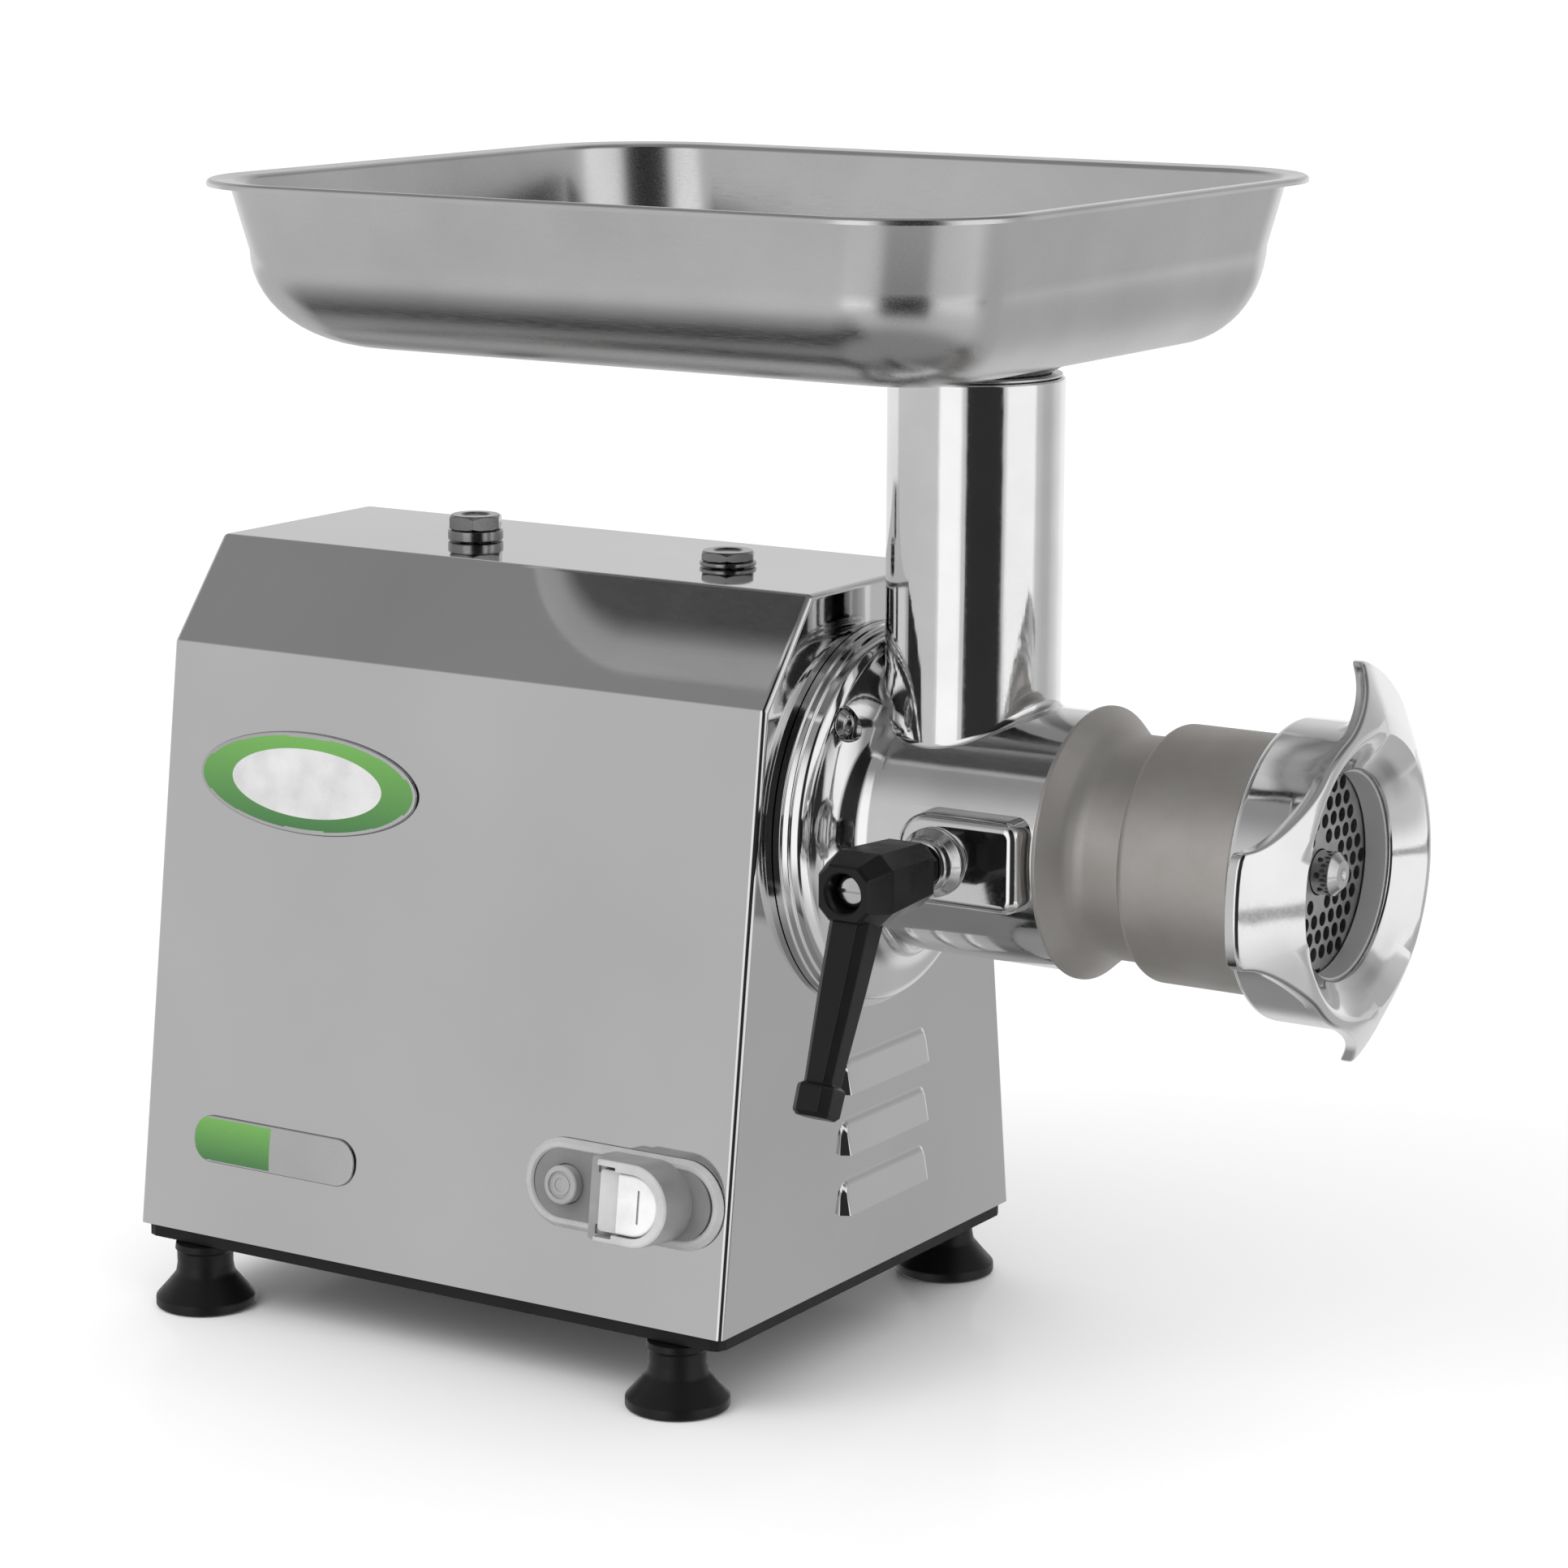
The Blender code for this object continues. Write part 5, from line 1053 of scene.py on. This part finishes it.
def lever():
    """Moulded clamping lever: faceted head, tapering faceted arm and a thicker end."""
    hub = frame_at(STUD, (1, 0, 0), (0, 0, 1))
    head = stacked("lever", [
        (LEVER_NECK, 0.0068, 0.0068, 0.0040, 0.0008),
        (LEVER_NECK + 0.0010, 0.0074, 0.0074, 0.0043, 0.0008),
        (LEVER_HEAD - 0.0010, 0.0077, 0.0077, 0.0044, 0.0008),
        (LEVER_HEAD + 0.0010, 0.0094, 0.0092, 0.0042, 0.0008),
        (LEVER_HEAD + 0.0022, 0.0104, 0.0100, 0.0044, 0.0008),
        (LEVER_FACE - 0.0110, 0.0118, 0.0114, 0.0048, 0.0008),
        (LEVER_FACE - 0.0096, 0.0118, 0.0114, 0.0048, 0.0008),
        (LEVER_FACE - 0.0010, 0.0092, 0.0090, 0.0038, 0.0008),
        (LEVER_FACE, 0.0084, 0.0082, 0.0035, 0.0006)], hub)
    top = STUD + Vector((0.0, -0.0930, -0.0030))
    end = STUD + Vector((0.0, -0.1195, -0.0670))
    along = end - top
    length = along.length
    shares = [(0.0, 0.0074, 0.0070, 0.0028), (0.40, 0.0065, 0.0062, 0.0025),
              (0.842, 0.0050, 0.0050, 0.0021), (0.850, 0.0052, 0.0052, 0.0021),
              (0.862, 0.0064, 0.0062, 0.0026), (0.875, 0.0066, 0.0064, 0.0027),
              (0.980, 0.0065, 0.0063, 0.0027), (1.0, 0.0054, 0.0052, 0.0023)]
    stations = [(length * share, *sizes, 0.0007) for share, *sizes in shares]
    arm = stacked("arm", stations, frame_at(top, (1, 0, 0), along.cross(Vector((1, 0, 0)))))
    combine(head, arm, "UNION")
    combine(head, rod("bore", 0.0, 0.2, 0.0053, STUD, "Y"))
    recess = [(LEVER_FACE - 0.0120, 0.0), (LEVER_FACE - 0.0120, 0.0062), (LEVER_FACE - 0.0006, 0.0062),
              (LEVER_FACE + 0.0006, 0.0074), (0.2, 0.0074), (0.2, 0.0)]
    combine(head, revolve("recess", recess, STUD, "Y", 64))
    show(head, "lever", "black_plastic", LEVER_PLASTIC, "lever_handle", angle=24)

    face = LEVER_FACE - 0.0050
    outline = rounded([(face - 0.0067, 0.0), (face - 0.0067, 0.0056), (face, 0.0056), (face, 0.0)],
                      (0, 0.0003, 0.0020, 0), 6, closed=False)
    screw = revolve("lever_cap", outline, STUD, "Y", 64)
    slot = [(-0.0060, -0.0006), (0.0060, -0.0006), (0.0060, 0.0006), (-0.0060, 0.0006)]
    combine(screw, prism("slot", slot, face - 0.0012, face + 0.01, hub))
    show(screw, "lever", "steel", BRIGHT_STEEL, "lever_screw")


# ---- mouth, auger, knife, plate and nut ----------------------------------------------------------
def mouth():
    """Turned sleeve: thin flare against the barrel, waist, and rounded body under the nut."""
    outline = [(0.0140, MOUTH_BORE), (0.0140, MOUTH_SLEEVE), (0.0826, MOUTH_SLEEVE), (0.0826, MOUTH_FLARE),
               (0.0840, MOUTH_FLARE), (0.0905, MOUTH_NECK + 0.0022), (0.0950, MOUTH_NECK),
               (0.1100, MOUTH_NECK), (0.1108, MOUTH_BODY), (NUT_BACK - GAP, MOUTH_BODY),
               (NUT_BACK, MOUTH_THREAD),
               (0.1655, MOUTH_THREAD), (0.1655, PLATE_SEAT), (0.1425, PLATE_SEAT), (0.1425, MOUTH_BORE)]
    radii = (0, .0006, 0, .0004, .0006, .012, .012, .0014, .0036, .0003, .0003, .0006, .0004, 0, .0004)
    piece = revolve("mouth", rounded(outline, radii, 8), AXIS)
    combine(piece, rod("feed_window", 0.0, 0.060, TUBE_BORE - 0.002, (TUBE_X, 0, AXIS_Z), "Z", 64))
    show(piece, "mouth", "satin_aluminium", SATIN, "mouth_sleeve", angle=30)


def worm_radius(angle):
    """Radius of the auger's cross-section, whose flight stands at angle zero."""
    near = max(0.0, min(1.0, (math.radians(30) - abs(angle)) / math.radians(20)))
    return AUGER_CORE + (AUGER_RADIUS - AUGER_CORE) * near ** 1.6 * (1.6 - 0.6 * near)


def worm():
    """Auger: smooth core and flight, square drive behind, stepped pin in front."""
    half_count, steps = 30, 200
    length = AUGER_END - AUGER_START
    angles = [FLIGHT_FOOT * (2 * i / (half_count - 1) - 1) for i in range(half_count)]
    bare = math.tau - 2 * FLIGHT_FOOT
    angles += [FLIGHT_FOOT + bare * i / (half_count + 1) for i in range(1, half_count + 1)]
    section = [(angle, worm_radius(angle)) for angle in angles]
    rings = []
    for step in range(steps + 1):
        x = FRONT_X + AUGER_START + length * step / steps
        twist = -math.tau * length * step / steps / AUGER_PITCH
        rings.append([(x, radius * math.cos(angle + twist), AXIS_Z + radius * math.sin(angle + twist))
                      for angle, radius in section])
    piece = skin("worm", rings, caps=True)
    half, nose = SQUARE_DRIVE / 2, (SQUARE_DRIVE - 0.003) / 2
    step_x = PLATE_AHEAD - GAP
    across = Matrix.Translation(AXIS) @ frame_at((0, 0, 0), (0, 1, 0), (0, 0, 1))
    for size, low, high in ((half, -0.004, AUGER_START + 0.002), (nose, AUGER_END - 0.002, step_x)):
        square = rounded([(size, -size), (size, size), (-size, size), (-size, -size)], 0.0006, 2)
        combine(piece, prism("square", square, low, high, across), "UNION")
    pin = [(AUGER_END, 0.0), (AUGER_END, 0.0050), (step_x, 0.0050), (step_x, PIN_RADIUS),
           (PIN_END - 0.0022, PIN_RADIUS), (PIN_END, PIN_RADIUS - 0.0026), (PIN_END, 0.0022),
           (PIN_END - 0.0018, 0.0)]
    pin = rounded(pin, (0, 0, 0, 0, .0004, .0004, .0002, 0), 3, closed=False)
    combine(piece, revolve("pin", pin, AXIS, segments=64), "UNION")
    show(piece, "worm", "steel", BRIGHT_STEEL, "auger", angle=35)


def grinding_plate():
    """Perforated disc with a notch for the key and a bore for the pin."""
    key_half, key_depth = 0.0021, 0.0038
    edge = math.sqrt(PLATE_RADIUS ** 2 - key_half ** 2)
    gap = math.asin(key_half / PLATE_RADIUS)
    rim = []
    for i in range(121):
        angle = -math.pi / 2 + gap + (math.tau - 2 * gap) * i / 120
        rim.append((PLATE_RADIUS * math.cos(angle), PLATE_RADIUS * math.sin(angle)))
    rim += [(-key_half, -edge + key_depth), (key_half, -edge + key_depth)]
    holes = []
    rows = int(PLATE_RADIUS / PLATE_PITCH) + 2
    for row in range(-rows, rows + 1):
        for column in range(-rows, rows + 1):
            y = (column + 0.5 * (row % 2)) * PLATE_PITCH
            z = row * PLATE_PITCH * math.sqrt(3) / 2
            if 0.0118 < math.hypot(y, z) < PLATE_RADIUS - 0.0042 and not (abs(y) < 0.0035 and z < -0.0260):
                holes.append(circle(PLATE_HOLE, 24, (y, z)))
    across = Matrix.Translation(AXIS) @ frame_at((0, 0, 0), (0, 1, 0), (0, 0, 1))
    bore = circle(PIN_RADIUS + 0.0004, 64)
    piece = pierced("grinding_plate", [rim, bore] + holes, PLATE_AHEAD, PLATE_AHEAD + PLATE_THICK, across)
    show(piece, "mouth", "steel", PLATE_STEEL, "perforated_plate")


def spacer():
    start, end = PLATE_AHEAD + PLATE_THICK + GAP, NUT_LIP - 0.0010 - GAP
    outline = rounded([(start, 0.0322), (start, 0.0350), (end, 0.0350), (end, 0.0322)], 0.0004, 3)
    ring = revolve("nut_spacer_ring", outline, AXIS)
    show(ring, "nut_spacer", "satin_stainless", RING_STEEL, "spacer_ring")


def nut_outline():
    """Front view of the nut: a circle with three lugs, whose hollow flanks leave it tangentially."""
    tip_angle = math.asin(0.0185 / WING_REACH)
    root_angle = math.radians(48)
    points = []
    for index in range(WING_COUNT):
        middle_angle = math.radians(180) + math.tau * index / WING_COUNT
        for step in range(8):
            angle = -math.pi / WING_COUNT + (math.pi / WING_COUNT - root_angle) * step / 8
            points.append((middle_angle + angle, NUT_RADIUS))
        flank = []
        for step in range(25):
            turn = math.pi / 2 * step / 24
            angle = root_angle - (root_angle - tip_angle) * math.sin(turn)
            rise = (1 - math.cos(turn)) ** 0.85
            flank.append((angle, NUT_RADIUS + (WING_REACH - NUT_RADIUS) * rise))
        points += [(middle_angle - angle, radius) for angle, radius in flank[:-1]]
        for step in range(9):
            angle = tip_angle * (step / 4 - 1)
            points.append((middle_angle + angle, WING_REACH))
        points += [(middle_angle + angle, radius) for angle, radius in reversed(flank[:-1])]
        for step in range(7):
            angle = root_angle + (math.pi / WING_COUNT - root_angle) * (step + 1) / 8
            points.append((middle_angle + angle, NUT_RADIUS))
    flat = [(radius * math.cos(angle), radius * math.sin(angle)) for angle, radius in points]
    return eased(flat, 3)


def eased(outline, times):
    """Round a dense outline's corners by averaging each point with its neighbours."""
    for _ in range(times):
        outline = [((a[0] + 2 * b[0] + c[0]) / 4, (a[1] + 2 * b[1] + c[1]) / 4)
                   for a, b, c in zip(outline[-1:] + outline[:-1], outline, outline[1:] + outline[:1])]
    return outline


def nut_front(radius):
    """How far ahead the nut's front surface lies: lip, dished face, round crest, swept-back lug."""
    crest_radius = NUT_RADIUS - 0.0030
    slope = (NUT_CREST - 0.0010 - WING_TIP) / (WING_REACH - crest_radius)
    inner = (NUT_CREST - NUT_LIP) / (crest_radius - NUT_OPENING - 0.0010)
    bend = 0.0020
    offset = radius - crest_radius
    if offset > 0:
        fall = slope * (math.sqrt(offset ** 2 + bend ** 2) - bend)
    else:
        fall = inner * (math.sqrt(offset ** 2 + bend ** 2) - bend) * 1.12
    return NUT_CREST - fall


def nut_circle(outline, along, radius):
    """A circle whose points lie at the outline's own bearings."""
    angles = [math.atan2(z, y) for y, z in outline]
    return [(along, radius * math.cos(angle), radius * math.sin(angle)) for angle in angles]


def on_front(shape, depth=0.0):
    """Lay a (y, z) shape on the nut's front surface, or a depth behind it."""
    return [(nut_front(math.hypot(y, z)) - depth, y, z) for y, z in shape]


def widened(shape, share):
    """Points part of the way from the dish out to the shape."""
    made = []
    for y, z in shape:
        angle, radius = math.atan2(z, y), math.hypot(y, z)
        part = NUT_DISH + (radius - NUT_DISH) * share
        made.append((part * math.cos(angle), part * math.sin(angle)))
    return made


def body_clear(made):
    """Keep a ring from sinking into the nut's round body."""
    kept = []
    for x, y, z in made:
        angle, radius = math.atan2(z, y), max(math.hypot(y, z), NUT_RADIUS)
        kept.append((x, radius * math.cos(angle), radius * math.sin(angle)))
    return kept


def lug_back(shape, share):
    """The lugs' back, drawn in by the share towards the body, which it meets in a fillet."""
    fillet = 0.0040
    made = []
    for y, z in shape:
        angle, radius = math.atan2(z, y), math.hypot(y, z)
        part = NUT_RADIUS + max(radius - NUT_RADIUS, 0.0) * share
        near = max(0.0, 1 - (part - NUT_RADIUS) / fillet)
        drop = fillet * (1 - math.sqrt(max(1 - near ** 2, 0.0))) * min(1.0, (1 - share) * 1.2)
        along = nut_front(max(part, radius * share)) - WING_THICK - drop
        made.append((along, part * math.cos(angle), part * math.sin(angle)))
    return made


def wing_nut():
    """Ring nut skinned in rings: lip, dish, crest, lugs, their backs, the body and the thread."""
    outline = nut_outline()
    edge = 0.0011
    quarter = [math.pi / 2 * step / 5 for step in range(6)]
    lip = [(NUT_LIP - 0.0010, NUT_THREAD), (NUT_LIP - 0.0010, NUT_OPENING + 0.0003),
           (NUT_LIP - 0.0007, NUT_OPENING), (NUT_LIP - 0.0001, NUT_OPENING + 0.0001),
           (NUT_LIP + 0.0004, NUT_OPENING + 0.0006)]
    dish = [(nut_front(radius), radius) for radius in (0.0350, 0.0365, 0.0380, NUT_DISH)]
    rings = [nut_circle(outline, along, radius) for along, radius in lip + dish]
    inner = shrunk(outline, edge)
    rings += [on_front(widened(inner, share)) for share in (0.2, 0.4, 0.5, 0.6, 0.7, 0.8, 0.9, 0.96)]
    for angle in quarter:
        rings.append(on_front(shrunk(outline, edge * (1 - math.sin(angle))), edge * (1 - math.cos(angle))))
    for angle in quarter[1:]:
        shape = shrunk(outline, edge * (1 - math.cos(angle)))
        rings.append(body_clear(on_front(shape, WING_THICK - edge + edge * math.sin(angle))))
    rings += [lug_back(inner, share) for share in (0.8, 0.6, 0.45, 0.32, 0.2, 0.1, 0.03, 0.0)]
    body = [(NUT_BACK + 0.012, NUT_RADIUS), (NUT_BACK, NUT_RADIUS), (NUT_BACK, NUT_THREAD)]
    rings += [nut_circle(outline, along, radius) for along, radius in rounded(body, 0.0034, 6, closed=False)]
    nut = skin("wing_nut", rings, along=True, place=Matrix.Translation(AXIS))
    show(nut, "nut", "polished_aluminium", POLISHED, "ring_nut", angle=45)


# ---- tray --------------------------------------------------------------------------------------
def tray_loop(inset, z, radius):
    """A rectangle with round corners, its straight sides divided; the outlet end's bend is tighter."""
    side, steps = 20, 16
    wall = TRAY_RIM + TRAY_DRAFT
    front = min(inset, wall) + max(inset - wall, 0.0) * TRAY_FRONT_SHARE
    x0, x1 = TRAY_LOW.x + inset, TRAY_HIGH.x - front
    y0, y1 = TRAY_LOW.y + inset, TRAY_HIGH.y - inset
    centres = ((x1 - radius, y1 - radius), (x0 + radius, y1 - radius), (x0 + radius, y0 + radius),
               (x1 - radius, y0 + radius))
    points = []
    for quarter, (x, y) in enumerate(centres):
        for step in range(steps + 1):
            angle = math.pi / 2 * (quarter + step / steps)
            points.append((x + radius * math.cos(angle), y + radius * math.sin(angle), z))
        after = centres[(quarter + 1) % 4]
        turn = math.pi / 2 * (quarter + 1)
        start = points[-1]
        end = (after[0] + radius * math.cos(turn), after[1] + radius * math.sin(turn), z)
        for step in range(1, side):
            points.append(tuple(a + (b - a) * step / side for a, b in zip(start, end)))
    return points


def tray_path():
    """(inset, height, corner radius) of the sheet's middle from the rim's edge to the floor's edge."""
    rim_z = TRAY_HIGH.z - TRAY_SHEET / 2
    wall = TRAY_RIM + TRAY_DRAFT
    path = [(0.0007, rim_z - 0.0016), (0.0007, rim_z), (TRAY_RIM - 0.0005, rim_z - 0.0006),
            (wall, TRAY_EDGE_Z + TRAY_BEND_HEIGHT)]
    path = rounded(path, (0, 0.0008, 0.0016, 0), 5, closed=False)
    stations = [(inset, z, TRAY_CORNER - min(inset, TRAY_RIM)) for inset, z in path]
    for step in range(1, 15):
        angle = math.pi / 2 * step / 14
        reach = TRAY_BEND_WIDTH * (1 - math.cos(angle))
        z = TRAY_EDGE_Z - TRAY_SHEET / 2 + (TRAY_BEND_HEIGHT + TRAY_SHEET / 2) * (1 - math.sin(angle))
        stations.append((wall + reach, z, TRAY_CORNER - TRAY_RIM - reach * TRAY_CORNER_CLOSING))
    return stations


def tray():
    """Pressed tray: turned-down rim, drafted walls, deep bend, and a floor that falls to the hole."""
    stations = tray_path()
    upper, lower = [], []
    for i, (inset, z, radius) in enumerate(stations):
        before, after = stations[max(i - 1, 0)], stations[min(i + 1, len(stations) - 1)]
        tangent = Vector((after[0] - before[0], after[1] - before[1])).normalized() * TRAY_SHEET / 2
        upper.append((inset - tangent.y, z + tangent.x, radius))
        lower.append((inset + tangent.y, z - tangent.x, radius))
    rings = [tray_loop(*station) for station in upper]
    under = [tray_loop(*station) for station in lower]
    hole = []
    for x, y, z in rings[-1]:
        angle = math.atan2(y, x - TUBE_X)
        hole.append(Vector((TUBE_X + TRAY_HOLE * math.cos(angle), TRAY_HOLE * math.sin(angle), TRAY_FLOOR_Z)))
    floor_rows = []
    for share in (0.15, 0.35, 0.6, 0.8, 0.92, 1.0):
        row = []
        for edge, inner in zip(rings[-1], hole):
            flat = Vector(edge).lerp(inner, share)
            fall = (TRAY_EDGE_Z - TRAY_FLOOR_Z) * share * share
            row.append((flat.x, flat.y, TRAY_EDGE_Z - fall))
        floor_rows.append(row)
    below = [[(x, y, z - TRAY_SHEET) for x, y, z in row] for row in reversed(floor_rows)]
    piece = skin("feed_tray", rings + floor_rows + below + under[::-1], along=True)
    show(piece, "tray_group", "satin_stainless", SHEET_METAL, "tray", angle=40)


def spout():
    low, high = TUBE_TOP_Z - 0.030, TRAY_FLOOR_Z - TRAY_SHEET - GAP
    collar = TUBE_TOP_Z + GAP
    outline = rounded([(low, TRAY_HOLE), (low, SPOUT_RADIUS), (collar, SPOUT_RADIUS), (collar, 0.0275),
                       (high, 0.0275), (high, TRAY_HOLE)], 0.0003, 3)
    piece = revolve("tray_pipe", outline, (TUBE_X, 0, 0), "Z")
    show(piece, "tray_group", "satin_stainless", SHEET_METAL, "tray_spout")


# ---- pieces that keep their frame meshes ---------------------------------------------------------
KEPT = {
    "base_plate": BLACK_PAINT, "knife": BRIGHT_STEEL, "plate_key": STEEL,
    "motor_pinion": STEEL, "countershaft_wheel": STEEL, "countershaft_pinion": STEEL, "output_wheel": STEEL,
    "gearbox_case": IRON, "gearbox_cover": IRON, "output_shaft": BRIGHT_STEEL, "countershaft": BRIGHT_STEEL,
    "output_front_bearing": BRIGHT_STEEL, "output_rear_bearing": BRIGHT_STEEL,
    "countershaft_rear_bearing": BRIGHT_STEEL, "motor_front_bearing": BRIGHT_STEEL,
    "motor_rear_bearing": BRIGHT_STEEL, "motor_front_bell": IRON, "motor_rear_bell": IRON,
    "stator_core": CORE, "stator_winding": COPPER, "rotor_core": CORE, "motor_shaft": BRIGHT_STEEL,
    "cooling_fan": BLACK_PLASTIC, "capacitor": CREAM,
}


def refinish():
    for name, finish in KEPT.items():
        for slot in frame["nodes"][name].material_slots:
            slot.material = finish


# ---- studio --------------------------------------------------------------------------------------
def world():
    """Even white light for the camera and for dull surfaces; polished ones see the dome instead."""
    scene = bpy.context.scene
    scene.world = bpy.data.worlds.new("studio_world")
    scene.world.use_nodes = True
    background = scene.world.node_tree.nodes["Background"]
    background.inputs["Color"].default_value = (1.0, 1.0, 1.0, 1.0)
    background.inputs["Strength"].default_value = 1.12
    scene.world.cycles_visibility.glossy = False


def floor():
    """Pale floor with a faint even gloss; polished pieces see the dome's lower half in its place."""
    bm = bmesh.new()
    bmesh.ops.create_grid(bm, x_segments=1, y_segments=1, size=40.0)
    plane = keep("floor", bm)
    f = Finish("floor", grey(0.97), 0.0, 0.9, specular_ior_level=0.0)
    gloss = f.add("ShaderNodeBsdfGlossy")
    f.link(f.spread(f.noise(6.0, 3.0), 0.09, 0.16), gloss.inputs["Roughness"])
    blend = f.add("ShaderNodeMixShader")
    blend.inputs["Fac"].default_value = 0.07
    f.link(f.shader.outputs["BSDF"], blend.inputs[1])
    f.link(gloss.outputs["BSDF"], blend.inputs[2])
    f.link(blend.outputs["Shader"], f.tree.nodes["Material Output"].inputs["Surface"])
    plane.data.materials.append(f.material)
    plane.visible_glossy = False


def dome():
    """Studio as polished metal sees it: bright horizon, dim ceiling, two soft boxes, a dark gap."""
    bm = bmesh.new()
    bmesh.ops.create_uvsphere(bm, u_segments=96, v_segments=48, radius=90.0)
    shell = keep("studio_dome", bm)
    material = bpy.data.materials.new("studio_dome")
    material.use_nodes = True
    material.cycles.emission_sampling = "NONE"
    tree = material.node_tree
    tree.nodes.clear()
    output = tree.nodes.new("ShaderNodeOutputMaterial")
    emission = tree.nodes.new("ShaderNodeEmission")
    tree.links.new(emission.outputs["Emission"], output.inputs["Surface"])

    def math_node(operation, first, second=None):
        made = tree.nodes.new("ShaderNodeMath")
        made.operation = operation
        for socket, value in zip(made.inputs, (first, second)):
            if isinstance(value, (int, float)):
                socket.default_value = value
            elif value is not None:
                tree.links.new(value, socket)
        return made.outputs["Value"]

    def step(value, start, end):
        made = tree.nodes.new("ShaderNodeMapRange")
        made.interpolation_type = "SMOOTHSTEP"
        made.inputs["From Min"].default_value = start
        made.inputs["From Max"].default_value = end
        tree.links.new(value, made.inputs["Value"])
        return made.outputs["Result"]

    def band(value, low, high, soft):
        risen, fallen = step(value, low - soft, low + soft), step(value, high - soft, high + soft)
        return math_node("SUBTRACT", risen, fallen)

    place = tree.nodes.new("ShaderNodeTexCoord")
    direction = tree.nodes.new("ShaderNodeVectorMath")
    direction.operation = "NORMALIZE"
    tree.links.new(place.outputs["Object"], direction.inputs[0])
    split = tree.nodes.new("ShaderNodeSeparateXYZ")
    tree.links.new(direction.outputs["Vector"], split.inputs["Vector"])
    degrees = 180 / math.pi
    height = math_node("MULTIPLY", math_node("ARCSINE", split.outputs["Z"]), degrees)
    around = math_node("ARCTAN2", split.outputs["Y"], split.outputs["X"])
    bearing = math_node("MULTIPLY", around, degrees)

    def patch(sides, heights):
        """1 within a patch and 0 outside it; None leaves that direction unlimited."""
        if sides is None:
            return band(height, *heights)
        if heights is None:
            return band(bearing, *sides)
        return math_node("MULTIPLY", band(bearing, *sides), band(height, *heights))

    light = STUDIO_LIGHT
    for amount, sides, heights in STUDIO_PATCHES:
        light = math_node("ADD", light, math_node("MULTIPLY", patch(sides, heights), amount))
    shade = math_node("MULTIPLY", patch(*STUDIO_GAP), GAP_SHADE)
    light = math_node("MULTIPLY", light, math_node("SUBTRACT", 1.0, shade))
    tree.links.new(light, emission.inputs["Strength"])
    shell.data.materials.append(material)
    shell.visible_camera = False
    shell.visible_diffuse = False
    shell.visible_shadow = False
    shell.visible_transmission = False


def key_light():
    """Broad soft light from above the operator's side, for dull surfaces and the soft shadow."""
    data = bpy.data.lights.new("key", "AREA")
    data.shape = "DISK"
    data.size = 1.6
    data.energy = 16.0
    lamp = bpy.data.objects.new("key", data)
    lamp.location = (-0.7, -1.6, 1.9)
    aim = Vector((-0.05, 0, 0.15)) - lamp.location
    lamp.rotation_euler = aim.to_track_quat("-Z", "Y").to_euler()
    lamp.visible_glossy = False
    bpy.context.scene.collection.objects.link(lamp)


def camera():
    """The photograph's view, with tones shown as they are."""
    scene = bpy.context.scene
    data = bpy.data.cameras.new("camera")
    data.lens = CAMERA_LENS
    data.clip_end = 200
    view = bpy.data.objects.new("camera", data)
    forward = Vector((-math.sin(CAMERA_AZIMUTH) * math.cos(CAMERA_DROP),
                      math.cos(CAMERA_AZIMUTH) * math.cos(CAMERA_DROP), -math.sin(CAMERA_DROP)))
    right = forward.cross(Vector((0, 0, 1))).normalized()
    up = right.cross(forward)
    side = right * math.cos(CAMERA_ROLL) + up * math.sin(CAMERA_ROLL)
    view.matrix_world = frame_at(CAMERA_PLACE, side, side.cross(forward))
    scene.collection.objects.link(view)
    scene.camera = view
    scene.view_settings.view_transform = "Standard"


def build():
    camera()
    world()
    floor()
    dome()
    key_light()
    housing()
    feet()
    roof_bolts()
    gland()
    oval_badge()
    pill_badge()
    switch()
    head()
    flange_screws()
    clamp_stud()
    lever()
    mouth()
    worm()
    grinding_plate()
    spacer()
    wing_nut()
    tray()
    spout()
    refinish()


build()
